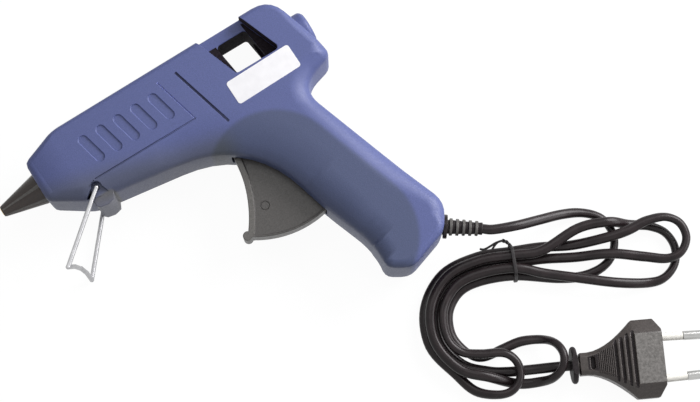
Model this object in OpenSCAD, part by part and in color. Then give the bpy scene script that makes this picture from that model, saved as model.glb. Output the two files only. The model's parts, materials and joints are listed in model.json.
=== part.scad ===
// Trigger-fed hot glue gun lying on its side, with its mains cord tied in a hank.
// Barrel along X with the nozzle at -X, grip towards -Y, thickness along Z, resting face at Z = 0.

/* [Housing] */
// From the trigger pivot forward to the nose face
nose_reach = 91.5; // [88:0.5:96]
// From the trigger pivot forward to where the nose slope meets the barrel top
shoulder_reach = 74; // [71:0.5:77]
// Height of the nose face above the barrel axis
nose_top = 10.6; // [10.2:0.1:12]
// Depth of the nose face below the barrel axis
nose_bottom = 9.2; // [9:0.1:10.5]
// Height of the top edge above the barrel axis
barrel_top = 16.8; // [16.6:0.1:18]
// Depth of the chin below the barrel axis
chin_depth = 19.2; // [18.6:0.1:20.4]
// From the trigger pivot back to the rear top corner
rear_reach = 36.3; // [36:0.1:38]
// Thickness over both shells
housing_t = 34; // [33:0.5:38]
// Thickness over both shells at the nose face
nose_t = 28; // [26:0.5:30]
// Wall thickness of the shells
wall = 2.2; // [1.8:0.1:2.5]

/* [Grip] */
// Length of the straight back of the grip
grip_back = 80; // [76:0.5:86]
// Grip size from back to front
grip_depth = 34.2; // [33:0.1:36]
// Lean of the grip from square to the barrel
grip_lean = 19; // [18:0.25:20]
// Distance from the trigger pivot line back to the hollow between barrel and grip
neck_x = 27.5; // [27:0.1:28.5]
// Depth of that hollow below the barrel axis
neck_drop = 24.7; // [24:0.1:25.5]
// Length of the curve where the underside turns down into the grip
arch_sweep = 33; // [30:0.5:34]

/* [Stick path] */
// Bore that takes the glue stick
stick_bore = 11.8; // [11.4:0.1:12.4]
// Wall of the melt chamber
chamber_wall = 2.6; // [2.2:0.1:3]
// Diameter of the nozzle cover at the nose face
cover_base = 14.4; // [13.8:0.1:14.6]
// Diameter of the nozzle cover at its tip
cover_tip = 5.3; // [5:0.1:6]
// Length of the nozzle cover ahead of the nose face
cover_reach = 19.5; // [17:0.5:22]
// Diameter of the orifice
orifice = 2; // [1.5:0.1:2.4]
// Outer diameter of the inlet collar
collar_d = 16; // [15.4:0.1:17]
// Length of the collar behind the rear edge
collar_reach = 4.4; // [3:0.1:6]

/* [Window] */
// Length of the window along the barrel
window_len = 21.8; // [20:0.2:23]
// Top of the window above the barrel axis
window_top = 11.4; // [10.5:0.1:11.8]
// Bottom of the window below the barrel axis
window_bottom = 4.9; // [4.4:0.1:5.6]
// Thickness left between the two window recesses
window_bar_t = 19; // [17:0.5:22]

/* [Trigger] */
// Thickness of the trigger at its rim
trigger_t = 10.4; // [9:0.2:12]
// Radius from the pivot to the lower edge of the trigger
trigger_r = 44.7; // [43:0.1:46]
// Diameter of the pivot pin
trigger_pin_d = 4; // [3.4:0.1:5]
// Depth of the pivot below the barrel axis
trigger_drop = 30.7; // [30:0.1:31.5]
// Squeeze of the trigger
squeeze = 16; // [10:1:16]
// Wire of the return spring
spring_wire = 0.9; // [0.7:0.1:1.1]
// Mean diameter of the return spring
spring_d = 7; // [6:0.25:8]

/* [Stand] */
// Wire of the stand
stand_wire = 2; // [1.8:0.1:2.4]
// Length of a stand leg from the pivot to the foot
stand_leg = 36.4; // [30:0.2:42]
// Angle of the near leg below the barrel
near_leg_angle = 40; // [36:0.5:44]
// Angle of the far leg below the barrel
far_leg_angle = 50; // [46:0.5:54]

/* [Cord and plug] */
// Diameter of the cord
cord_d = 4.4; // [4.2:0.05:4.45]
// Width of the plug head
plug_w = 34.4; // [33.6:0.1:36]
// Thickness of the plug head
plug_t = 13.7; // [13:0.1:15]
// Length of the plug from its collar to its face
plug_len = 40; // [38:0.5:42]
// Diameter of a plug pin
pin_d = 4; // [4:0.1:4.8]
// Distance between the pins at the plug face
pin_pitch = 18.6; // [18:0.1:19.2]
// Length of a pin ahead of the plug face
pin_len = 19; // [18.5:0.1:20]

/* [Hidden] */
$fn = 48;

// Clearances: a push fit, a loose seat, a running fit and a gap between moving pieces
push_gap = 0.1;
seat_gap = 0.3;
run_gap = 0.05;
free_gap = 0.6;
// Overlap that lets a cut run past a face
past = 1;

half_t = housing_t / 2;
nose_half = nose_t / 2;
nose_x = -nose_reach;
blue = [0.36, 0.38, 0.58];
black = [0.1, 0.1, 0.1];
steel = [0.72, 0.73, 0.75];
brass = [0.75, 0.6, 0.3];

function unit(v) = v / norm(v);
function inward(d) = [d[1], -d[0]];
function heading(a) = [cos(a), sin(a)];

// Grip frame: distance past the heel along the back, and distance forward of the back
neck = [neck_x, -neck_drop];
grip_down = [sin(grip_lean), -cos(grip_lean)];
grip_front = [-cos(grip_lean), -sin(grip_lean)];
function grip_at(down, front) = neck + (grip_back + down) * grip_down + front * grip_front;
heel_drop = 7.4;
heel_cut = 10.3;
heel = grip_at(0, 0);
heel_foot = grip_at(heel_drop, heel_cut);

// Side outline as two chains of corners from the nose to the grip's end.
// Each corner: place, curve reach, edge rounding across the side, edge rounding in depth, half thickness.
chin = [-shoulder_reach - 2, -chin_depth];
under_front = [nose_x + 26.1, -chin_depth - 2.2];
arch = [-2.9, -30.3];
upper = [
    [[-nose_reach, nose_top], 2.5, 3, 3, nose_half],
    [[-shoulder_reach, barrel_top - 0.9], 3, 2.5, 2.5, half_t],
    [[rear_reach, barrel_top], 9, 3, 3, half_t],
    [[rear_reach + 7.3, -5.3], 5, 4.5, 4, half_t],
    [[rear_reach + 10.6, -18.5], 4.5, 7, 6, half_t],
    [neck, 10, 9, 7, half_t],
    [grip_at(-29, 0), 6, 11, 8, half_t],
    [heel, 6, 7, 5, half_t],
    [heel_foot, 3, 4, 3, half_t],
    [grip_at(heel_drop - 0.4, grip_depth - 2.7), 4, 4, 3, half_t]
];
lower = [
    [[-nose_reach, -nose_bottom], 2, 4, 3, nose_half],
    [chin, 3, 7, 4.5, half_t],
    [under_front, 3, 9, 6, half_t],
    [under_front + 0.17 * (arch - under_front), 2, 9, 6, half_t],
    [under_front + 0.33 * (arch - under_front), 3, 10, 6, half_t],
    [arch, arch_sweep, 20, 6, half_t],
    [grip_at(-41, grip_depth), 8, 15, 7.5, half_t],
    [grip_at(-17, grip_depth - 0.6), 4.5, 13, 7, half_t],
    [grip_at(-8.7, grip_depth + 1), 3, 8, 5, half_t],
    [grip_at(-1.3, grip_depth + 4.1), 3, 4, 3, half_t]
];
corner_steps = [3, 4, 6, 3, 5, 10, 3, 5, 4, 4];
edge_angles = [0, 0, 22.5, 45, 67.5, 90];
corner_count = len(upper);
// How far the form stands above its flat side before that is cut level
flat_lift = 0.05;
form_reach = 2 * (nose_reach + grip_back);
loop = concat(upper, [for (i = [corner_count - 1:-1:0]) lower[i]]);
loop_steps = concat(corner_steps, [for (i = [corner_count - 1:-1:0]) corner_steps[i]]);
loop_count = len(loop);

// Points of one corner, moved in from the outline and drawn as a curve between its two sides
function corner_points(i, move_in, z) =
    let (
        place = loop[i][0],
        from = unit(place - loop[(i + loop_count - 1) % loop_count][0]),
        onward = unit(loop[(i + 1) % loop_count][0] - place),
        mitre = (inward(from) + inward(onward)) / (1 + from * onward),
        bend = (from[1] * onward[0] - from[0] * onward[1]) / (1 + from * onward),
        moved = place + move_in * mitre,
        reach = max(loop[i][1] - move_in * bend, 0.2),
        steps = loop_steps[i]
    )
    [for (k = [0:steps - 1]) let (
        u = k / (steps - 1),
        before = moved - reach * from,
        after = moved + reach * onward,
        flat = (1 - u) * (1 - u) * before + 2 * u * (1 - u) * moved + u * u * after
    ) [flat[0], flat[1], z]];

// One ring round the half housing, thinner by the given wall, at one angle of the edge rounding
function ring(thin, angle, base) = [for (i = [0:loop_count - 1]) let (
        across = max(loop[i][2] - thin, 0.4),
        deep = max(loop[i][3] - thin, 0.4),
        move_in = thin + across * (1 - cos(angle)),
        z = base ? -past : loop[i][4] - thin - deep * (1 - sin(angle)) + flat_lift
    )
    each corner_points(i, move_in, z)];

// Half of the housing's form above the mid plane, as rings with caps drawn between the two chains.
// The outer form is cut level at the mid plane and both are cut level at their flat side.
module half_form(thin) {
    rings = [for (k = [0:len(edge_angles) - 1]) ring(thin, edge_angles[k], k == 0)];
    count = len(rings[0]);
    chain = count / 2;
    top = (len(rings) - 1) * count;
    sides = [for (k = [0:len(rings) - 2]) for (j = [0:count - 1]) let (
            a = k * count + j,
            b = k * count + (j + 1) % count
        )
        each [[a, b, b + count], [a, b + count, a + count]]];
    caps = [for (j = [0:chain - 2]) let (far = count - 1 - j)
        each [[top + j, top + j + 1, top + far - 1], [top + j, top + far - 1, top + far],
            [far - 1, j + 1, j], [far, far - 1, j]]];
    intersection() {
        polyhedron(points = [for (r = rings) each r], faces = concat(sides, caps), convexity = 10);
        slab([-form_reach, -form_reach, thin > 0 ? -2 * past : 0], [form_reach, form_reach, half_t - thin]);
    }
}

module mid() translate([0, 0, half_t]) children();
module along_x(from, to, r) translate([from, 0, 0]) rotate([0, 90, 0]) cylinder(h = to - from, r = r);
module turned_x(profile) rotate([0, 90, 0]) rotate_extrude() polygon(profile);
module post(place, r, from, to) translate([place[0], place[1], from]) cylinder(h = to - from, r = r);
module slab(low, high) translate(low) cube(high - low);

// Stick path stations along the barrel
bore_r = stick_bore / 2;
chamber_r = bore_r + chamber_wall;
cover_r = cover_base / 2;
cover_lip_x = nose_x + wall + push_gap;
cover_end_x = cover_lip_x + 1.6;
cover_lip = 0.6;
chamber_front = nose_x + 6;
chamber_neck_x = -40.4;
chamber_rear = -34;
chamber_neck_r = chamber_r - 1.5;
sleeve_rear = -23.5;
sleeve_wall = 1.3;
support_t = 2.5;
front_support_x = nose_x + 11.5;
rear_support_x = -44.5;
support_half = 10.8;
support_seat = support_half - 1.6;
wire_slot_half = 6.4;
rib_t = 1.8;

// Nozzle sections, shared with its cover
nozzle_tip_x = nose_x - cover_reach - 0.2;
nozzle_tip_r = 1.8;
nozzle_body_r = 4.7;
nozzle_body_x = nose_x - 2;
nozzle_shoulder_x = nose_x + 2;
nozzle_shoulder_r = 6.2;
nozzle_thread_r = 3.9;
nozzle_rear = chamber_front + 7.5;
sleeve_gap = 0.15;
channel_r = 2.4;
channel_from = nose_x - 13;
channel_cone = 2;
chamber_cone = 8;

// Heater stack on top of the chamber
heater_from = front_support_x + 6;
heater_to = rear_support_x - 5.5;
heater_half = 6.5;
element_half = 5.5;
plate_half = 5;
saddle_top = chamber_r + 0.7;
electrode_t = 0.4;
element_t = 1.8;
lower_plate_y = saddle_top + push_gap;
element_y = lower_plate_y + electrode_t + push_gap;
upper_plate_y = element_y + element_t + push_gap;
clip_y = upper_plate_y + electrode_t + push_gap;
clip_t = 0.8;
tab_len = 3.6;
tab_z = 3;
tab_w = 2.4;
crimp_back = 1.4;
crimp_t = 1.8;

// Trigger and feed
pivot = [0, -trigger_drop];
pin_rest_x = -6;
arm_angle = atan(-pin_rest_x / trigger_drop);
arm_from_z = 9;
arm_to_z = 11.5;
boss_to_z = arm_to_z + 0.3;
arm_w = 10;
drive_pin_r = 2;
carriage_from = pin_rest_x - 6;
carriage_to = pin_rest_x + 5;
carriage_half = arm_from_z - free_gap;
carriage_y = bore_r + seat_gap + 2.3;
jaw_hinge = [pin_rest_x - 2.5, carriage_y + 2.4];
jaw_pin_r = 1.2;
jaw_half = 2.6;
tooth_count = 3;
tooth_pitch = 1.2;
tooth_first = 2.2;
ear_t = 2;
ear_w = 5.2;
jaw_slot_front = 3.2;
jaw_slot_back = 1.2;
guide_half = drive_pin_r + seat_gap;
guide_spare = 6;
guide_from_z = arm_to_z + free_gap;
feed = trigger_drop * tan(arm_angle + squeeze) + pin_rest_x;

// Trigger profile: a sector about the pivot with a hollow front
front_top = [-13.2, -trigger_drop - 5.1];
knob = pivot + (trigger_r - 0.4) * heading(234.1);
front_hollow = 2.4;
front_chord = norm(knob - front_top);
front_r = front_chord * front_chord / (8 * front_hollow) + front_hollow / 2;
front_mid = (front_top + knob) / 2;
front_c = front_mid + (front_r - front_hollow) * unit([knob[1] - front_top[1], front_top[0] - knob[0]]);
rim_w = 2.7;
knob_r = 2.1;
rim_step = 1;

// Return spring between the trigger's back and a post in the grip
spring_seat = [8.6, -trigger_drop - 21];
spring_len = 13;
spring_turns = 7;
spring_heading = 8;

// Window, slanted like its recess
window_slant = 0.38;
window_left = 5.06;
function window_x(y, side, grow) = window_left + side * window_len - window_slant * y + (2 * side - 1) * grow;
window_round = 1.6;
module window_face(grow, low, high) {
    polygon([[window_x(low, 0, grow), low], [window_x(high, 0, grow), high],
        [window_x(high, 1, grow), high], [window_x(low, 1, grow), low]]);
}
module rounded(r) offset(r = r, $fn = 24) offset(delta = -r) children();
// The hole through the bar between the two recesses, squarer and shorter than they are
hole_slant = 0.14;
hole_left = 7.2;
hole_right = 22;
module hole_face() {
    polygon([for (c = [[hole_left, -window_bottom], [hole_left, window_top], [hole_right, window_top],
        [hole_right, -window_bottom]]) [c[0] - hole_slant * c[1], c[1]]]);
}

// Inlet collar at the rear edge
rear_edge_x = rear_reach + 5.6;
collar_r = collar_d / 2;
collar_end = rear_edge_x + collar_reach;
collar_from = rear_reach - 1.8;
collar_lip = 1.5;

// Stand pivot, the recess it swings in and its legs
stand_pivot = [under_front[0] - 5.1, -chin_depth + 3.5];
stand_r = stand_wire / 2;
stand_z = half_t - 1.8;
stand_floor = stand_z - stand_r - 0.3;
stand_open = 60;
bend_swell = 0.06;
lug_z = stand_floor - 0.4;
near_foot = stand_pivot + stand_leg * heading(180 + near_leg_angle);
far_foot = stand_pivot + stand_leg * heading(180 + far_leg_angle);

// Case screws, driven from the resting side
screw_places = [[nose_x + 31.5, -chin_depth + 4.5], [-28, barrel_top - 5.5], [rear_reach - 4.2, barrel_top - 5],
    [rear_reach + 2.8, -14], grip_at(-34, 10), grip_at(-3, grip_depth - 5)];
boss_r = 3.3;
screw_r = 1.35;
screw_head_r = 2.8;
screw_head_t = 2;
screw_recess = [3.6, 0.8, 2];
head_seat_z = half_t - 4.5;
screw_tip_z = 8;

// Cord entry square to the heel face
heel_face = unit(heel_foot - heel);
entry_dir = [-heel_face[1], heel_face[0]];
entry = heel + 8.6 * heel_face;
entry_angle = atan2(entry_dir[1], entry_dir[0]);
cord_r = cord_d / 2;
relief_bore = cord_r + push_gap;
relief_neck = relief_bore + 1.3;
relief_len = 17.2;
relief_flange_t = 1.8;
relief_seat = 1.6;
relief_seat_t = 1.6;
relief_ribs = 5;
relief_pitch = 2.8;
stub_len = 22;
clamp_at = 14;
clamp_span = 4.8;
clamp_t = 2.5;
clamp_half = 2.5;
clamp_screw_r = 1.15;
clamp_post_r = 2.6;
module at_entry() translate([entry[0], entry[1], 0]) rotate([0, 0, entry_angle]) children();

// Inside leads, from the cord's end over the trigger to the heater tabs
lead_r = 0.75;
function entry_point(out, aside, z) = [each (entry + out * entry_dir + aside * heel_face), z];
function wire_route(side, tab_y) = [
    entry_point(-stub_len - 0.1, 0, side * 1.1),
    entry_point(-stub_len - 5, 0, side * 2.2),
    [25, -83, side * 6],
    [25, -71, side * 10],
    [29.5, -57, side * 11],
    [27.5, -43, side * 11.4],
    [18, -28, side * 12.4],
    [6, -19, side * 13],
    [-8, -17, side * 13],
    [-22, -16, side * 13],
    [-31, -9, side * 12.6],
    [-35.5, 1.5, side * 11.8],
    [-38.5, tab_y, side * 9],
    [rear_support_x + 1.4, tab_y, side * 4.2],
    [heater_to + tab_len + 0.7, tab_y, side * tab_z]
];

// Smooth curve through the points of a route, with the given number of steps between them
function through(p, i, u) = let (
        a = i > 0 ? p[i - 1] : 2 * p[0] - p[1],
        d = i < len(p) - 2 ? p[i + 2] : 2 * p[len(p) - 1] - p[len(p) - 2],
        b = p[i],
        c = p[i + 1]
    )
    0.5 * (2 * b + (c - a) * u + (2 * a - 5 * b + 4 * c - d) * u * u + (3 * b - 3 * c + d - a) * u * u * u);
function smooth(p, steps) = concat(
    [for (i = [0:len(p) - 2]) for (k = [0:steps - 1]) through(p, i, k / steps)],
    [p[len(p) - 1]]);

// Round tube along a path that never runs straight up, or along the part of it between two of its points
module tube(path, r, sides, first = 0, last = -1) {
    path_end = len(path) - 1;
    to = last < 0 ? path_end : last;
    count = to - first + 1;
    function along(i) = i == 0 ? path[1] - path[0]
        : i == path_end ? path[i] - path[i - 1]
        : unit(path[i + 1] - path[i]) + unit(path[i] - path[i - 1]);
    points = [for (i = [first:to]) let (
            t = unit(along(i)),
            aside = unit(cross(t, [0, 0, 1])),
            over = cross(aside, t)
        )
        for (k = [0:sides - 1]) path[i] + r * (cos(360 * k / sides) * aside + sin(360 * k / sides) * over)];
    skin = [for (i = [0:count - 2]) for (k = [0:sides - 1]) let (
            a = i * sides + k,
            b = i * sides + (k + 1) % sides
        )
        each [[a, b + sides, b], [a, a + sides, b + sides]]];
    ends = [[for (k = [0:sides - 1]) k], [for (k = [sides - 1:-1:0]) (count - 1) * sides + k]];
    polyhedron(points = points, faces = concat(skin, ends), convexity = 12);
}

// Plug on the table: collar centre, turn in the table frame and height of its axis
plug_place = [153.9, -125.1];
plug_turn = 5;
plug_z = plug_t / 2;
pin_lean = 1.5;
sleeve_len = 10;
pin_inside = 8;
sleeve_r = pin_d / 2 - 0.2;
pin_core_r = pin_d / 2 - 0.6;
// Half sizes of the plug's neck and of its flat top, and the stretches of its length
plug_neck_w = 4.9;
plug_neck_t = 4.3;
plug_neck_flat = 3.1;
plug_top_flat = 10.9;
plug_neck_len = 7;
plug_head_len = 12.5;
plug_corner = 3;
plug_corner_w = 5;
plug_flange_r = 8.15;
plug_flange_t = 2.4;
plug_stub_len = 4;
// Grip grooves on its two flat sides, and the oval slot in its neck
groove_count = 4;
groove_first = plug_len - plug_head_len - 8.1;
groove_pitch = 2.6;
groove_w = 1.3;
groove_depth = 1.1;
fine_count = 9;
fine_first = 11.7;
fine_pitch = 0.8;
fine_w = 0.36;
fine_depth = 0.3;
oval_x = 9.2;
oval_w = 1.9;
oval_len = 5.6;
oval_depth = 1.6;

// Cord on the table, in a frame turned to lie along the photograph's edges
table_turn = -32;
function on_table(x, y, z) = let (c = cos(table_turn), s = sin(table_turn)) [c * x - s * y, s * x + c * y, z];
function to_row(p) = [for (q = p) on_table(q[0], q[1], q[2])];
cord_pitch = cord_d + 1;
layer = cord_d + 0.8;
floor_z = cord_r + 0.05;
second_z = floor_z + layer;
tie_lift = 0.9;
tie_t = 0.8;
tie_w = 1.6;

// Hank: a bundle that comes in from the right, turns round an arc and runs back to the right
bundle_c = [118.2, -104.4];
bundle_r = 22.7;
bundle_rise = 9;
bundle_arc = 168;
tie_run = 15;
// Place in the bundle: distance outward from its middle line, distance along it past the arc's start, height
function bundle_at(out, run, z) = let (
        r = bundle_r + out,
        up = heading(90 + bundle_rise),
        arc_len = bundle_arc / 180 * PI * bundle_r,
        turn = 90 + bundle_rise + bundle_arc * run / arc_len,
        down = heading(90 + bundle_arc + bundle_rise),
        past_arc = (run - arc_len) * heading(bundle_rise - 12)
    )
    run < 0 ? [each (bundle_c + r * up - run * heading(bundle_rise)), z]
    : run > arc_len ? [each (bundle_c + r * down + past_arc), z]
    : [each (bundle_c + r * heading(turn)), z];
bundle_runs = [-28, -tie_run, 0, 14, 28, 42, 56, 68];
function pass(out, z, from, to) = [for (run = bundle_runs) if (run >= from && run <= to)
    bundle_at(out, run, z + (run == -tie_run ? tie_lift : run == -28 || run == 0 ? tie_lift / 2 : 0))];
function back(p) = [for (i = [len(p) - 1:-1:0]) p[i]];
// Points round a fold that starts at one height, ends at another and humps between them
function fold(c, r, from, to, count, z0, z1, hump) = [for (k = [0:count - 1]) let (u = k / (count - 1))
    [each (c + r * heading(from + (to - from) * u)), z0 + (z1 - z0) * u + hump * sin(180 * u)]];

wide_fold_r = 2.9 * cord_d;
fold_r = 2.1 * cord_d;
wide_fold_c = [189, -75.4];
tip_fold_c = [196.4, -68.8];
plug_fold_c = [141.2, -122.6];
end_fold_c = [122.6, -128.6];
hank_start = [149, -86, floor_z];
hank_route = concat(
    [hank_start],
    pass(-cord_pitch, floor_z, -tie_run, 56),
    [[116, -121, floor_z], [124.5, -117.4, floor_z], [133, -114, floor_z + 0.5]],
    fold(plug_fold_c, fold_r, 84, -92, 6, floor_z + 2, floor_z + 1.6, 8.6),
    [[131, -132.6, floor_z]],
    back(pass(0.56 * cord_pitch, second_z, -28, 68)),
    [[158, -64.6, second_z], [171.5, -61.8, second_z + 0.9], [181, -62.2, floor_z + 1.1]],
    fold(wide_fold_c, wide_fold_r, 84, -90, 6, floor_z, floor_z + 0.8, 0),
    [[175, -88.6, second_z - 0.5], [158, -86.6, second_z], [143, -84.6, second_z]],
    pass(-cord_pitch / 2, second_z, -tie_run, 42),
    [[106, -119, second_z], [114.5, -120, second_z]],
    fold(end_fold_c, fold_r, 78, -94, 5, second_z, second_z, 0),
    [[112.5, -136, floor_z + 2]],
    back(pass(cord_pitch, floor_z, -28, 56)),
    [[156, -71.4, floor_z + 1], [171, -68.6, second_z + 0.8]],
    [[180, -65.6, second_z + 1.4], [188, -61.4, second_z + 1.2]],
    fold(tip_fold_c, fold_r, 90, -86, 5, second_z + 0.8, second_z + 0.5, 0),
    [[187, -77.2, second_z + 0.3], [172, -75.8, second_z + 0.2], [157, -76.8, floor_z + 1]],
    pass(0, floor_z, -28, 68)
);
lead_route = [
    [131, -64.4, 15],
    [141, -61.2, 10.4],
    [151, -58, 5.2],
    [160, -56.8, 2.7],
    [168.3, -58.7, floor_z],
    [173.2, -64, floor_z],
    [174.7, -70, floor_z],
    [173, -76.8, floor_z],
    [168, -81.9, floor_z],
    [160, -85.2, floor_z]
];
plug_lead = 5;
tail_route = [
    [127, -127.4, floor_z],
    [137, -126.5, 3],
    [144, -125.9, 5.2],
    [each (plug_place - plug_lead * heading(plug_turn)), plug_z],
    [each plug_place, plug_z]
];
relief_tip = entry + relief_len * entry_dir;
cord_exit = [[each relief_tip, half_t], [each (relief_tip + plug_lead * entry_dir), half_t]];
cord_points = concat(cord_exit, to_row(lead_route), to_row(hank_route), to_row(tail_route));
cord_steps = 3;
function on_floor(p) = [for (q = p) [q[0], q[1], max(q[2], floor_z)]];
cord_path = on_floor(smooth(cord_points, cord_steps));
hank_first = cord_steps * (len(cord_exit) + len(lead_route));
hank_last = hank_first + cord_steps * (len(hank_route) - 1);

// Length of the cord, and its least gap to itself between points more than three diameters apart along it
cord_run = on_floor(smooth(cord_points, 2 * cord_steps));
function run_length(p) = [
    for (i = 0, s = 0; i < len(p); s = s + norm(p[min(i + 1, len(p) - 1)] - p[i]), i = i + 1) s];
cord_stations = run_length(cord_run);
self_gap = min([for (i = [0:len(cord_run) - 1]) for (j = [i + 1:1:len(cord_run) - 1])
    if (cord_stations[j] - cord_stations[i] > 3 * cord_d) norm(cord_run[i] - cord_run[j])]) - cord_d;
spring_gap = spring_len / spring_turns - spring_wire;
echo(cord_length = cord_stations[len(cord_stations) - 1], cord_gap = self_gap, spring_gap = spring_gap);

module at_plug() {
    place = on_table(plug_place[0], plug_place[1], plug_z);
    translate(place) rotate([0, 0, table_turn + plug_turn]) children();
}

// Stadium across the barrel, for the shallow side slots
module slot_face(w, l) {
    circle(d = w);
    translate([0, -l + w, 0]) circle(d = w);
    translate([-w / 2, -l + w]) square([w, l - w]);
}
slot_count = 5;
slot_pitch = 8.75;
slot_first = nose_x + 28;
slot_lean = 14;
slot_depth = 0.6;
line_depth = 0.4;
line_w = 0.5;
panel_low = -12.7;
module side_line(from, to, w) {
    d = to - from;
    translate([from[0], from[1], half_t - line_depth]) rotate([0, 0, atan2(d[1], d[0])])
        translate([0, -w / 2, 0]) cube([norm(d), w, past + line_depth]);
}
module side_detail() {
    for (i = [0:slot_count - 1])
        translate([slot_first + i * slot_pitch - 1.3, 4.6, half_t - slot_depth]) rotate([0, 0, slot_lean])
            linear_extrude(slot_depth + past) slot_face(4.2, 14.4);
    side_line([nose_x + 22.5, panel_low], [-18.8, panel_low], line_w);
    side_line([-18.8, panel_low], [-24.7, 9.4], line_w);
    side_line([-15.7, 9.2], [-7.1, -21.4], 2 * line_w);
}

// What stays solid when a half is hollowed out: window frame, bosses, ribs and rails
module kept_solid() {
    linear_extrude(half_t) window_face(wall, -window_bottom - wall, barrel_top + past);
    for (p = screw_places) post(p, boss_r, -past, half_t);
    post(pivot, trigger_pin_d / 2 + 2.4, guide_from_z, half_t);
    post(stand_pivot, stand_r + 2.2, stand_floor - 3, half_t);
    for (x = [front_support_x, rear_support_x]) {
        for (s = [-push_gap - rib_t, support_t + push_gap])
            slab([x + s, -support_half + 2, support_seat], [x + s + rib_t, support_half - 2, half_t]);
        slab([x - push_gap - rib_t, -support_half + 2, support_half + push_gap],
            [x + support_t + push_gap + rib_t, support_half - 2, half_t]);
    }
    for (y = [guide_half, -guide_half - 2])
        slab([pin_rest_x - feed - guide_spare, y, guide_from_z], [pin_rest_x + guide_spare, y + 2, half_t]);
    spring_end = spring_seat + (spring_len + seat_gap) * heading(spring_heading);
    translate([spring_end[0], spring_end[1], -past]) rotate([0, 0, spring_heading])
        translate([0, -spring_d / 2 - 1.5, 0]) cube([2.5, spring_d + 3, half_t + past]);
}

// Holes through a half: nozzle, stick path, collar, window, trigger slot, stand, cord entry
module shell_cuts() {
    along_x(nose_x - past, nose_x + wall + past, cover_r + push_gap);
    along_x(nose_x + wall, cover_end_x + push_gap, cover_r + cover_lip + push_gap);
    along_x(-past - 2, rear_reach + 1, bore_r + seat_gap);
    along_x(collar_from - past, collar_end, collar_r + push_gap);
    translate([0, 0, -past]) linear_extrude(housing_t) rounded(window_round) hole_face();
    translate([0, 0, window_bar_t / 2]) linear_extrude(half_t)
        rounded(window_round) window_face(0, -window_bottom - 0.2, barrel_top + 5);
    translate([0, 0, -past]) linear_extrude(trigger_t / 2 + free_gap + past) intersection() {
        translate(pivot) circle(r = trigger_r + free_gap);
        translate([front_top[0] - free_gap, pivot[1] - trigger_r - 2]) square([36, trigger_r + 4]);
    }
    translate([0, 0, stand_floor]) linear_extrude(half_t) {
        translate(stand_pivot) circle(r = stand_r + 1.4);
        polygon([stand_pivot + 2 * heading(120), stand_pivot + stand_leg * heading(180 + near_leg_angle - 6),
            stand_pivot + stand_leg * heading(180 + far_leg_angle + stand_open + 4),
            stand_pivot + 2 * heading(30)]);
    }
    post(stand_pivot, stand_r + run_gap, stand_floor - 4, half_t);
    post(pivot, trigger_pin_d / 2 + run_gap, -past, half_t - wall);
    at_entry() {
        along_x(-wall - 4, 4, relief_neck + push_gap);
        along_x(-wall - relief_seat_t - 2 * push_gap, -wall, relief_neck + relief_seat + push_gap);
    }
    side_detail();
}

// One half above the mid plane, before its screw holes
module half_shell() {
    difference() {
        union() {
            half_form(0);
            linear_extrude(lug_z) polygon([under_front + [1, 2], under_front, under_front + [-1.1, -2.3],
                under_front + [-4.4, -3.1], under_front + [-7.9, -2.4], under_front + [-9.2, -1.1],
                under_front + [-9.4, 3]]);
        }
        difference() {
            half_form(wall);
            kept_solid();
        }
        shell_cuts();
    }
}
module left_shell() {
    color(blue) mid() difference() {
        half_shell();
        for (p = screw_places) post(p, screw_r + run_gap, -past, screw_tip_z + 2);
    }
}
module right_shell() {
    color(blue) mid() difference() {
        union() {
            mirror([0, 0, 1]) half_shell();
            at_entry() for (s = [-1, 1])
                post([-clamp_at, s * clamp_span], clamp_post_r, -half_t + wall / 2, cord_r - push_gap);
        }
        for (p = screw_places) {
            post(p, screw_r + push_gap, -half_t, past);
            post(p, screw_head_r + seat_gap, -half_t - past, -head_seat_z);
        }
        at_entry() for (s = [-1, 1])
            post([-clamp_at, s * clamp_span], clamp_screw_r + run_gap, -half_t / 2 - past, half_t);
    }
}

// Hot end: nozzle in its cover, screwed into the melt chamber
module nozzle() {
    color(brass) mid() turned_x([[orifice / 2, nozzle_tip_x], [nozzle_tip_r, nozzle_tip_x],
        [nozzle_body_r, nozzle_body_x], [nozzle_body_r, nozzle_shoulder_x],
        [nozzle_shoulder_r, nozzle_shoulder_x],
        [nozzle_shoulder_r, chamber_front - push_gap], [nozzle_thread_r, chamber_front - push_gap],
        [nozzle_thread_r, nozzle_rear], [channel_r, nozzle_rear], [channel_r, channel_from + channel_cone],
        [orifice / 2, channel_from]]);
}
module nozzle_cover() {
    tip_x = nose_x - cover_reach;
    color(black) mid() turned_x([[nozzle_tip_r + 2 * sleeve_gap, tip_x], [cover_tip / 2 - 0.4, tip_x],
        [cover_tip / 2, tip_x + 0.6], [cover_r, nose_x - 0.6], [cover_r, cover_lip_x],
        [cover_r + cover_lip, cover_lip_x], [cover_r + cover_lip, cover_end_x],
        [nozzle_shoulder_r + sleeve_gap, cover_end_x],
        [nozzle_shoulder_r + sleeve_gap, nozzle_shoulder_x - sleeve_gap],
        [nozzle_body_r + sleeve_gap, nozzle_shoulder_x - sleeve_gap],
        [nozzle_body_r + sleeve_gap, nozzle_body_x]]);
}
module melt_chamber() {
    color("silver") mid() difference() {
        union() {
            along_x(chamber_front, chamber_neck_x, chamber_r);
            along_x(chamber_neck_x - past, chamber_rear, chamber_neck_r);
            slab([heater_from, 0, -heater_half], [heater_to, saddle_top, heater_half]);
        }
        along_x(chamber_front - past, nozzle_rear + past, nozzle_thread_r + run_gap);
        turned_x([[0, nozzle_rear], [nozzle_thread_r + run_gap, nozzle_rear],
            [bore_r, nozzle_rear + chamber_cone],
            [bore_r, chamber_rear + past], [0, chamber_rear + past]]);
    }
}
module heater_element() {
    color("white") mid()
        slab([heater_from + 1, element_y, -element_half],
            [heater_to - 1, element_y + element_t, element_half]);
}
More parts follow.
